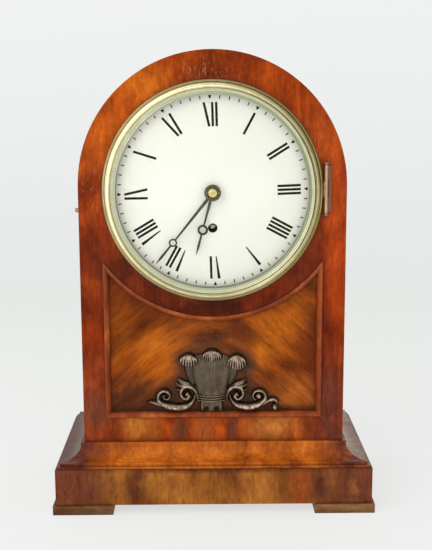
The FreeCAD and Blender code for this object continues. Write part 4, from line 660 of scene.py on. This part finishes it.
def bezel_glass():
    """Domed glass: two spherical skins, each closed by a fan at its crown."""
    sphere = (GLASS_RADIUS ** 2 + GLASS_RISE ** 2) / (2 * GLASS_RISE)
    radii = [GLASS_RADIUS * k / GLASS_ROWS for k in range(1, GLASS_ROWS + 1)]
    outer = [(r, GLASS_CROWN + sphere - math.sqrt(sphere ** 2 - r * r)) for r in radii]
    inner = [(r, depth + GLASS_THICK) for r, depth in outer]
    points, faces = turned(outer + inner[::-1], GLASS_STEPS, False)
    count = 2 * GLASS_ROWS
    crown = len(points)
    points += [(0, FRONT + GLASS_CROWN, DIAL_Z), (0, FRONT + GLASS_CROWN + GLASS_THICK, DIAL_Z)]
    for step in range(GLASS_STEPS):
        one, two = step * count, ((step + 1) % GLASS_STEPS) * count
        faces.append((crown, two, one))
        faces.append((crown + 1, one + count - 1, two + count - 1))
    make("BezelGlass", points, faces, "bezel", "glass", GLASS_SMOOTH, ("bezel_glass",), "glass")


# (radius, rise) of one end of the hinge's pin.
FINIAL = [(0.0, 0.0), (1.7, 0.0), (1.9, 0.5), (1.5, 1.0), (2.7, 1.6), (2.9, 2.2), (2.3, 2.9),
          (1.0, 3.4), (0.0, 3.5)]
FINIAL_STEPS, FINIAL_SMOOTH = 24, 50.0


def hinge_finials():
    """Turned ends of the bezel hinge's pin."""
    points, faces = [], []
    for foot, way in ((HINGE_LOW, -1), (HINGE_HIGH, 1)):
        start = len(points)
        for radius, rise in FINIAL:
            for step in range(FINIAL_STEPS):
                a = 2 * math.pi * step / FINIAL_STEPS
                points.append((HINGE_X + radius * math.cos(a),
                               FRONT + HINGE_DEPTH + radius * math.sin(a), foot + way * rise))
        for row in range(len(FINIAL) - 1):
            low = start + row * FINIAL_STEPS
            for step in range(FINIAL_STEPS):
                one, two = low + step, low + (step + 1) % FINIAL_STEPS
                face = (one, two, two + FINIAL_STEPS, one + FINIAL_STEPS)
                faces.append(face[::way])
    make("HingeFinials", points, faces, "case", "brass", FINIAL_SMOOTH, slot="brass")


# ------------------------------------------------------------ dial
PAINT_TURN = math.radians(-1.5)
NUMERALS = ["XII", "I", "II", "III", "IIII", "V", "VI", "VII", "VIII", "IX", "X", "XI"]
INNER_R, OUTER_R = 64.6, 88.0
# Letter: advance, thick stroke (sideways place at the inner and the outer ring, width there),
# hairline (places), serifs (ring, left end, right end).
LETTERS = {
    "I": (3.9, (1.95, 1.95, 2.4, 2.4), None, [(INNER_R, 0.05, 3.85), (OUTER_R, 0.05, 3.85)]),
    "V": (7.6, (4.2, 1.7, 1.0, 3.0), (4.2, 6.6), [(OUTER_R, 0.1, 2.9), (OUTER_R, 5.0, 7.8)]),
    "X": (8.4, (6.8, 2.0, 2.4, 2.4), (1.2, 7.2), [(INNER_R, -0.3, 2.7), (INNER_R, 5.7, 8.7),
                                                  (OUTER_R, -0.2, 2.8), (OUTER_R, 5.7, 8.7)]),
}
HAIR_WIDTH, SERIF_WIDTH, SERIF_INSET = 0.16, 0.14, 0.12
INK_LIFT, HAIR_LIFT = 0.06, 0.05
MARK_SMOOTH = 40.0
# Minute marks: inner and outer radius, width at each.
MINUTE_MARK = (91.4, 94.9, 1.0, 1.1)
HOUR_MARK = (91.5, 94.9, 0.6, 3.6)


class Strokes:
    """Painted marks, each a strip of small quads that lies just in front of the dome."""

    def __init__(self, lift):
        self.lift = lift
        self.points = []
        self.faces = []

    def place(self, x, z):
        """Point over the painted dome; x and z from the dial's centre."""
        depth = (DIAL_CROWN + DIAL_SPHERE - math.sqrt(DIAL_SPHERE ** 2 - x * x - z * z)
                 - self.lift)
        self.points.append((x, FRONT + depth, DIAL_Z + z))

    def strip(self, start, end, width_start, width_end, parts=8):
        """From (x, z) to (x, z) with end widths."""
        dx, dz = end[0] - start[0], end[1] - start[1]
        long = math.hypot(dx, dz)
        side = (-dz / long, dx / long)
        base = len(self.points)
        for k in range(parts + 1):
            share = k / parts
            x, z = start[0] + dx * share, start[1] + dz * share
            half = (width_start + (width_end - width_start) * share) / 2
            for reach in (-half, half):
                self.place(x + reach * side[0], z + reach * side[1])
        for k in range(parts):
            a = base + 2 * k
            self.faces.append((a, a + 1, a + 3, a + 2))

    def put(self, name, material):
        make(name, self.points, self.faces, "case", material, MARK_SMOOTH, slot="dial_enamel")


def polar(radius, side, angle):
    """(x, z) from distance along a clock angle and distance sideways (clockwise)."""
    return (radius * math.sin(angle) + side * math.cos(angle),
            radius * math.cos(angle) - side * math.sin(angle))


def letter_strokes(letter, side, angle, thick, thin):
    """One letter that starts at a sideways place and stands along a clock angle."""
    _, stroke, hairline, serifs = LETTERS[letter]
    low, high, width_low, width_high = stroke
    thick.strip(polar(INNER_R, side + low, angle), polar(OUTER_R, side + high, angle),
                width_low, width_high)
    if hairline:
        low, high = hairline
        thin.strip(polar(INNER_R, side + low, angle), polar(OUTER_R, side + high, angle),
                   HAIR_WIDTH, HAIR_WIDTH)
    for ring, left, right in serifs:
        level = ring + (SERIF_INSET if ring == INNER_R else -SERIF_INSET)
        thin.strip(polar(level, side + left, angle), polar(level, side + right, angle),
                   SERIF_WIDTH, SERIF_WIDTH, parts=2)


def numerals():
    thick, thin = Strokes(INK_LIFT), Strokes(HAIR_LIFT)
    for hour, text in enumerate(NUMERALS):
        angle = math.radians(30 * hour) + PAINT_TURN
        side = -sum(LETTERS[letter][0] for letter in text) / 2
        for letter in text:
            letter_strokes(letter, side, angle, thick, thin)
            side += LETTERS[letter][0]
    for minute in range(60):
        angle = math.radians(6 * minute) + PAINT_TURN
        low, high, width_low, width_high = MINUTE_MARK if minute % 5 else HOUR_MARK
        thick.strip(polar(low, 0, angle), polar(high, 0, angle), width_low, width_high, parts=2)
    thick.put("DialFigures", "ink")
    thin.put("DialHairlines", "hair")


# ------------------------------------------------------------ crest
# Rows of a stroke are x, z, half width and height over the panel, in millimetres.
CREST_X = -2.0
CREST_LOW, CREST_TOP = 99.7, 8.2
CREST_FIELD = (-71.0, 69.2, 98.9, 166.0)
CREST_CELL, CREST_EDGE, CREST_SMOOTH = 0.38, -0.15, 75.0
PATH_STEPS = 14
BARB_PITCH = 2.1
QUILL, QUILL_HALF = 0.8, 0.09


def smooth_path(points):
    """Catmull-Rom path through the rows of a stroke."""
    rows = [np.array(p, float) for p in points]
    rows = [2 * rows[0] - rows[1]] + rows + [2 * rows[-1] - rows[-2]]
    out = []
    for a, b, c, d in zip(rows, rows[1:], rows[2:], rows[3:]):
        for k in range(PATH_STEPS):
            t = k / PATH_STEPS
            out.append(0.5 * ((2 * b) + (c - a) * t + (2 * a - 5 * b + 4 * c - d) * t * t
                              + (3 * b - a - 3 * c + d) * t ** 3))
    out.append(rows[-2])
    return np.array(out)


def wave(phase):
    """Goes from 0 to 1 and back as the phase runs through a full turn."""
    return 0.5 - 0.5 * np.cos(phase)


class Relief:
    """Height field built from swept strokes, highest wins."""

    def __init__(self, left, right, low, high):
        self.x = np.arange(left, right + CREST_CELL, CREST_CELL)
        self.z = np.arange(low, high + CREST_CELL, CREST_CELL)
        self.gx, self.gz = np.meshgrid(self.x, self.z)
        self.h = np.full(self.gx.shape, -1.0)

    def stroke(self, points, ribs=0, barb=0.0, depth=0.0, roundness=0.5):
        """Sweep a rounded section; ribs = grooves across the width, barb = pitch of chevrons."""
        path = smooth_path(points)
        best = np.full(self.gx.shape, 1e9)
        side, width, high, run = (np.zeros(self.gx.shape) for _ in range(4))
        total = 0.0
        for a, b in zip(path, path[1:]):
            dx, dz = b[0] - a[0], b[1] - a[1]
            long = math.hypot(dx, dz)
            if long < 1e-6:
                continue
            t = np.clip(((self.gx - a[0]) * dx + (self.gz - a[1]) * dz) / long ** 2, 0, 1)
            px, pz = self.gx - (a[0] + dx * t), self.gz - (a[1] + dz * t)
            w = np.maximum(a[2] + (b[2] - a[2]) * t, 0.05)
            gap = np.hypot(px, pz) / w
            near = gap < best
            best = np.where(near, gap, best)
            side = np.where(near, (px * dz - pz * dx) / long / w, side)
            width = np.where(near, w, width)
            high = np.where(near, a[3] + (b[3] - a[3]) * t, high)
            run = np.where(near, total + long * t, run)
            total += long
        dome = np.power(np.clip(1 - best ** 2, 0, 1), roundness)
        height = high * dome
        if ribs:
            height = height - depth * wave(side * math.pi * ribs) * np.sqrt(dome)
        if barb:
            phase = (run - np.abs(side) * width) * 2 * math.pi / barb
            height = height - depth * wave(phase) + QUILL * (np.abs(side) < QUILL_HALF)
        self.h = np.where(best < 1.0, np.maximum(self.h, height), self.h)

    def pierce(self, x, z, half_x, half_z):
        hole = ((self.gx - x) / half_x) ** 2 + ((self.gz - z) / half_z) ** 2 < 1
        self.h = np.where(hole, -1.0, self.h)

    def mesh(self):
        """Points and faces of the field, with a rim that runs just into the panel."""
        rows, cols = self.h.shape
        keep = self.h > 0.0
        grown = keep.copy()
        grown[1:] |= keep[:-1]
        grown[:-1] |= keep[1:]
        grown[:, 1:] |= keep[:, :-1]
        grown[:, :-1] |= keep[:, 1:]
        index = -np.ones(self.h.shape, int)
        points, faces = [], []
        for i in range(rows):
            for j in range(cols):
                if grown[i, j]:
                    index[i, j] = len(points)
                    level = max(self.h[i, j], CREST_EDGE)
                    points.append((self.x[j], FRONT + PANEL_DEPTH - level, self.z[i]))
        for i in range(rows - 1):
            for j in range(cols - 1):
                quad = (index[i, j], index[i, j + 1], index[i + 1, j + 1], index[i + 1, j])
                if min(quad) >= 0 and keep[i:i + 2, j:j + 2].any():
                    faces.append(quad)
        return points, faces


def plume_head(relief, x, z, half, drop, count):
    """Curled tip of a feather: a cushion with barbs that hang over its front edge."""
    relief.stroke([(x - 0.50 * half, z - 0.6, 4.9, 5.4), (x, z + 0.6, 6.2, 6.6),
                   (x + 0.50 * half, z - 0.6, 4.9, 5.4)])
    wide = half / count
    for k in range(count):
        share = 2 * (k + 0.5) / count - 1
        top = (x + 0.50 * half * share, z + 4.4 - 1.6 * share ** 2)
        end = (x + half * share, z - drop * (1 - 0.5 * share ** 2))
        middle = (0.4 * top[0] + 0.6 * end[0] + 0.8 * share, 0.5 * (top[1] + end[1]) + 0.8)
        relief.stroke([top + (wide * 0.9, 6.2), middle + (wide * 1.3, 7.4),
                       end + (wide * 1.15, 7.2 - 1.4 * abs(share))])


def mirrored(rows, sign):
    """Rows given from the crest's middle line, laid out on one side of it."""
    return [(CREST_X + sign * x, z, width, height) for x, z, width, height in rows]


def crest_feathers(relief):
    """Three feathers standing in a coronet, the outer two with a curled head of their own."""
    for sign in (-1, 1):
        relief.stroke(mirrored([(6.0, 115.0, 7.6, 2.6), (8.4, 128.0, 8.4, 3.4),
                                (10.6, 142.0, 9.0, 3.8), (11.8, 152.5, 7.6, 4.0)], sign),
                      barb=BARB_PITCH, depth=0.55, roundness=0.3)
        relief.stroke(mirrored([(19.4, 129.0, 2.6, 2.2), (22.4, 139.0, 4.2, 3.2),
                                (23.4, 151.0, 5.4, 4.4)], sign), ribs=3, depth=0.5)
    relief.stroke([(CREST_X, 114.0, 6.6, 3.0), (CREST_X, 130.0, 7.6, 4.2),
                   (CREST_X, 146.0, 7.8, 4.6), (CREST_X, 158.0, 6.4, 5.0)],
                  barb=BARB_PITCH, depth=0.6, roundness=0.35)
    plume_head(relief, -25.4, 155.0, 9.8, 6.4, 7)
    plume_head(relief, 23.8, 154.0, 10.4, 9.0, 8)
    plume_head(relief, -1.4, 159.6, 10.4, 6.2, 9)


def crest_band(relief):
    """Coronet of three reeds over a foot with two arched openings."""
    for level, half in ((115.8, 14.2), (113.2, 13.8), (110.6, 13.4)):
        relief.stroke([(CREST_X - half, level + 0.7, 1.0, 4.8), (CREST_X, level - 0.5, 1.2, 5.6),
                       (CREST_X + half, level + 0.7, 1.0, 4.8)])
    relief.stroke([(CREST_X, 112.0, 12.6, 3.6), (CREST_X, 103.0, 10.6, 3.6)], roundness=0.25)
    for x in (-9.6, 0.0, 9.2):
        relief.stroke([(CREST_X + x, 110, 2.3, 4.0), (CREST_X + x, 104, 2.6, 4.8),
                       (CREST_X + x, 100, 2.2, 4.0)])
    for x in (-4.9, 4.7):
        relief.pierce(CREST_X + x, 100.4, 2.4, 4.6)


# Strokes of an inner scroll from its own centre: the curl, then the lobes of its leaf.
INNER_SCROLL = [
    ([(-10.4, -6.4, 2.0, 3.6), (-9.4, 0.2, 2.6, 5.0), (-6.4, 5.4, 3.0, 6.4), (-0.8, 8.0, 3.1, 7.2),
      (4.6, 5.8, 2.9, 7.0), (6.6, 0.6, 2.7, 6.6), (4.8, -3.8, 2.6, 6.4), (0.8, -5.4, 2.6, 6.8),
      (-1.8, -2.4, 2.7, 7.4), (-0.4, 0.2, 2.6, 7.9), (0.6, -0.6, 2.4, 8.0)], 1, 0.9),
    ([(-5.0, 7.4, 1.8, 4.2), (0.6, 10.2, 3.2, 6.6), (5.6, 12.4, 2.8, 6.0),
      (10.0, 16.4, 0.8, 2.6)], 3, 0.9),
    ([(3.0, 8.4, 2.0, 6.4), (7.4, 8.6, 1.9, 5.4), (11.6, 11.2, 0.7, 2.4)], 1, 0.7),
    ([(6.0, 4.4, 1.6, 5.8), (9.2, 3.8, 1.4, 4.4), (11.6, 5.6, 0.6, 2.2)], 1, 0.6),
]


def inner_scroll(relief, sign, middle_x, middle_z):
    """Scroll that springs from the foot of the coronet, with a leaf laid over its back."""
    for rows, ribs, depth in INNER_SCROLL:
        relief.stroke([(middle_x + sign * x, middle_z + z, width, height)
                       for x, z, width, height in rows], ribs=ribs, depth=depth)


def left_scroll(relief):
    """Long S along the foot of the panel with a spiral volute and a pointed leaf."""
    relief.stroke([(-19.0, 117.0, 1.6, 3.0), (-20.4, 111.8, 2.6, 4.6), (-24.6, 106.4, 3.7, 6.2),
                   (-30.8, 103.9, 4.6, 7.2), (-38.4, 103.4, 4.7, 7.4), (-46.4, 104.6, 4.5, 7.2),
                   (-52.8, 107.4, 3.9, 6.6), (-56.8, 111.6, 2.9, 6.2), (-56.6, 117.4, 2.7, 6.2),
                   (-52.6, 121.2, 2.6, 6.6), (-47.4, 120.4, 2.4, 6.8), (-45.0, 116.4, 1.8, 6.2),
                   (-47.4, 112.8, 1.6, 6.0), (-51.0, 113.8, 1.4, 6.4), (-51.0, 116.8, 1.2, 7.2)],
                  ribs=1, depth=0.9)
    relief.stroke([(-69.4, 108.4, 0.6, 1.4), (-64.6, 109.4, 2.4, 5.0), (-58.4, 107.8, 2.8, 5.6),
                   (-53.0, 104.8, 2.4, 4.6), (-47.0, 102.0, 1.6, 4.0)], ribs=1, depth=0.6)


def right_scroll(relief):
    """Answering scroll with a ball volute, a curled leaf and the drop below it."""
    relief.stroke([(16.6, 117.0, 1.6, 3.0), (18.6, 111.8, 2.6, 4.6), (22.8, 106.8, 3.7, 6.2),
                   (29.8, 104.2, 4.6, 7.2), (37.4, 103.6, 4.7, 7.4), (44.8, 105.2, 4.4, 7.2),
                   (50.4, 108.6, 3.8, 6.4), (53.6, 113.4, 2.9, 6.2), (52.4, 118.8, 2.7, 6.2),
                   (47.8, 121.4, 2.6, 6.6), (42.6, 120.0, 2.0, 6.2), (40.8, 115.4, 1.8, 6.0),
                   (43.2, 111.8, 1.6, 5.8)], ribs=1, depth=0.9)
    relief.stroke([(46.2, 116.0, 3.6, 8.0), (46.9, 115.4, 3.6, 8.2)], roundness=0.7)
    relief.stroke([(44.0, 103.4, 2.0, 4.4), (51.0, 106.2, 2.6, 5.0), (57.4, 110.4, 2.9, 5.8),
                   (62.2, 111.8, 2.7, 6.2), (65.4, 109.6, 2.2, 6.0), (65.0, 106.4, 1.2, 4.4)],
                  ribs=1, depth=0.6)
    relief.stroke([(62.4, 106.0, 1.6, 5.0), (63.4, 103.8, 3.4, 7.4), (63.4, 102.6, 3.2, 7.2)],
                  roundness=0.65)


def crest():
    relief = Relief(*CREST_FIELD)
    crest_feathers(relief)
    inner_scroll(relief, -1, -27.0, 118.4)
    inner_scroll(relief, 1, 24.0, 118.0)
    left_scroll(relief)
    right_scroll(relief)
    crest_band(relief)
    relief.h = np.where(relief.gz < CREST_LOW, -1.0, relief.h)
    relief.h = np.minimum(relief.h, CREST_TOP)
    make("CrestMount", *relief.mesh(), "case", "bronze", CREST_SMOOTH, ("crest_mount",), "bronze")


# ------------------------------------------------------------ stage, light, camera
PALE_SHARE = 0.72
# Tone of the backdrop by how far back and up it is, as a share of TONE_RUN in metres.
TONES = [(0.0, (0.90, 0.91, 0.90)), (0.42, (0.79, 0.81, 0.79)), (0.62, (0.81, 0.83, 0.82)),
         (1.0, (0.91, 0.93, 0.92))]
TONE_RUN = 2.4
STAGE_SIDE, STAGE_NEAR, STAGE_BEND, STAGE_RADIUS, STAGE_TOP = 3.0, -3.0, 0.9, 0.8, 2.6
BEND_STEPS = 24
# Name, place, aim, watts, width, height.
LAMPS = [
    ("KeyLeft", (-1.4, -1.5, 1.5), (0, 0, 0.24), 11.6, 1.6, 1.6),
    ("FillRight", (1.6, -1.3, 0.9), (0, 0, 0.22), 3.0, 1.6, 1.6),
    ("TableBounce", (0.0, -1.3, 0.12), (0, 0, 0.26), 3.0, 1.2, 0.5),
]
ROOM_COLOUR = (0.93, 0.94, 0.93, 1)
ROOM_LEAN = (-0.85, 0.0, 0.5)
ROOM_REACH, ROOM_DIM, ROOM_BRIGHT = 0.9, 0.34, 1.19
PITCH, YAW, ROLL = math.radians(10.109), math.radians(0.626), math.radians(-0.214)
CAMERA_AT = (-7.95, -1010.83 + FRONT, 423.07)
FOCAL_PIXELS, PHOTO_HEIGHT, SENSOR = 1016.67, 550.0, 36.0


def backdrop_material():
    """Plain pale floor that takes the clock's shadow and looks evenly pale to the camera."""
    m = Material("Backdrop")
    m.finish(Base_Color=m.mix(m.cloud(1.5, 2.0, 0.5), (0.86, 0.87, 0.86), (0.89, 0.90, 0.89)),
             Roughness=0.9, Specular_IOR_Level=0.1)
    diffuse = m.out.inputs[0].links[0].from_socket
    rays = m.tree.nodes.new("ShaderNodeLightPath").outputs
    seen = m.math("MAXIMUM", rays["Is Camera Ray"], rays["Is Glossy Ray"])
    seen = m.math("MAXIMUM", seen, rays["Is Transmission Ray"])
    _, y, z = m.axes()
    tone = m.ramp(m.range(m.math("ADD", y, z), 0.0, TONE_RUN, 0.0, 1.0), TONES)
    pale = m.add("Emission", {"Color": tone, "Strength": 1.0})
    share = m.math("MULTIPLY", seen, PALE_SHARE)
    m.fill(m.out.inputs[0], m.add("MixShader", {0: share, 1: diffuse, 2: pale}))
    return m.material


def stage():
    """Floor that bends up into a wall behind the clock."""
    profile = [(STAGE_NEAR, 0.0)]
    for k in range(BEND_STEPS + 1):
        a = math.pi / 2 * k / BEND_STEPS
        profile.append((STAGE_BEND + STAGE_RADIUS * math.sin(a), STAGE_RADIUS * (1 - math.cos(a))))
    profile.append((STAGE_BEND + STAGE_RADIUS, STAGE_TOP))
    points = [(side, y, z) for y, z in profile for side in (-STAGE_SIDE, STAGE_SIDE)]
    faces = [(2 * k, 2 * k + 1, 2 * k + 3, 2 * k + 2) for k in range(len(profile) - 1)]
    data = bpy.data.meshes.new("Backdrop")
    data.from_pydata(points, [], faces)
    data.materials.append(backdrop_material())
    for face in data.polygons:
        face.use_smooth = True
    item = bpy.data.objects.new("Backdrop", data)
    bpy.context.scene.collection.objects.link(item)


def lamps():
    """Soft key from the upper left, weak fill and the light that the table throws back."""
    for name, place, aim, watts, width, height in LAMPS:
        data = bpy.data.lights.new(name, "AREA")
        data.energy = watts
        data.shape = "RECTANGLE"
        data.size, data.size_y = width, height
        item = bpy.data.objects.new(name, data)
        item.location = place
        item.rotation_euler = (Vector(aim) - Vector(place)).to_track_quat("-Z", "Y").to_euler()
        bpy.context.scene.collection.objects.link(item)


def room():
    """World light that is stronger from the left and above."""
    world = bpy.data.worlds.new("Room")
    bpy.context.scene.world = world
    world.use_nodes = True
    tree = world.node_tree
    tree.nodes.clear()
    out, light, coords, lean, level = (
        tree.nodes.new("ShaderNode" + kind)
        for kind in ("OutputWorld", "Background", "TexCoord", "VectorMath", "MapRange"))
    lean.operation = "DOT_PRODUCT"
    lean.inputs[1].default_value = ROOM_LEAN
    for index, value in enumerate((-ROOM_REACH, ROOM_REACH, ROOM_DIM, ROOM_BRIGHT), 1):
        level.inputs[index].default_value = value
    light.inputs[0].default_value = ROOM_COLOUR
    tree.links.new(coords.outputs["Generated"], lean.inputs[0])
    tree.links.new(lean.outputs["Value"], level.inputs[0])
    tree.links.new(level.outputs[0], light.inputs[1])
    tree.links.new(light.outputs[0], out.inputs[0])


def camera():
    ahead = Vector((math.sin(YAW) * math.cos(PITCH), math.cos(YAW) * math.cos(PITCH),
                    -math.sin(PITCH)))
    level = Vector((math.cos(YAW), -math.sin(YAW), 0.0))
    upright = level.cross(ahead)
    right = level * math.cos(ROLL) + upright * math.sin(ROLL)
    up = -level * math.sin(ROLL) + upright * math.cos(ROLL)
    matrix = Matrix((right, up, -ahead)).transposed().to_4x4()
    matrix.translation = Vector(CAMERA_AT) * MM
    data = bpy.data.cameras.new("Camera")
    data.sensor_width = SENSOR
    data.lens = FOCAL_PIXELS / PHOTO_HEIGHT * SENSOR
    data.clip_start = 0.05
    item = bpy.data.objects.new("Camera", data)
    item.matrix_world = matrix
    bpy.context.scene.collection.objects.link(item)
    bpy.context.scene.camera = item


dress_nodes()
bezel()
bezel_glass()
hinge_finials()
numerals()
crest()
stage()
lamps()
room()
camera()
bpy.context.scene.view_settings.view_transform = "Standard"
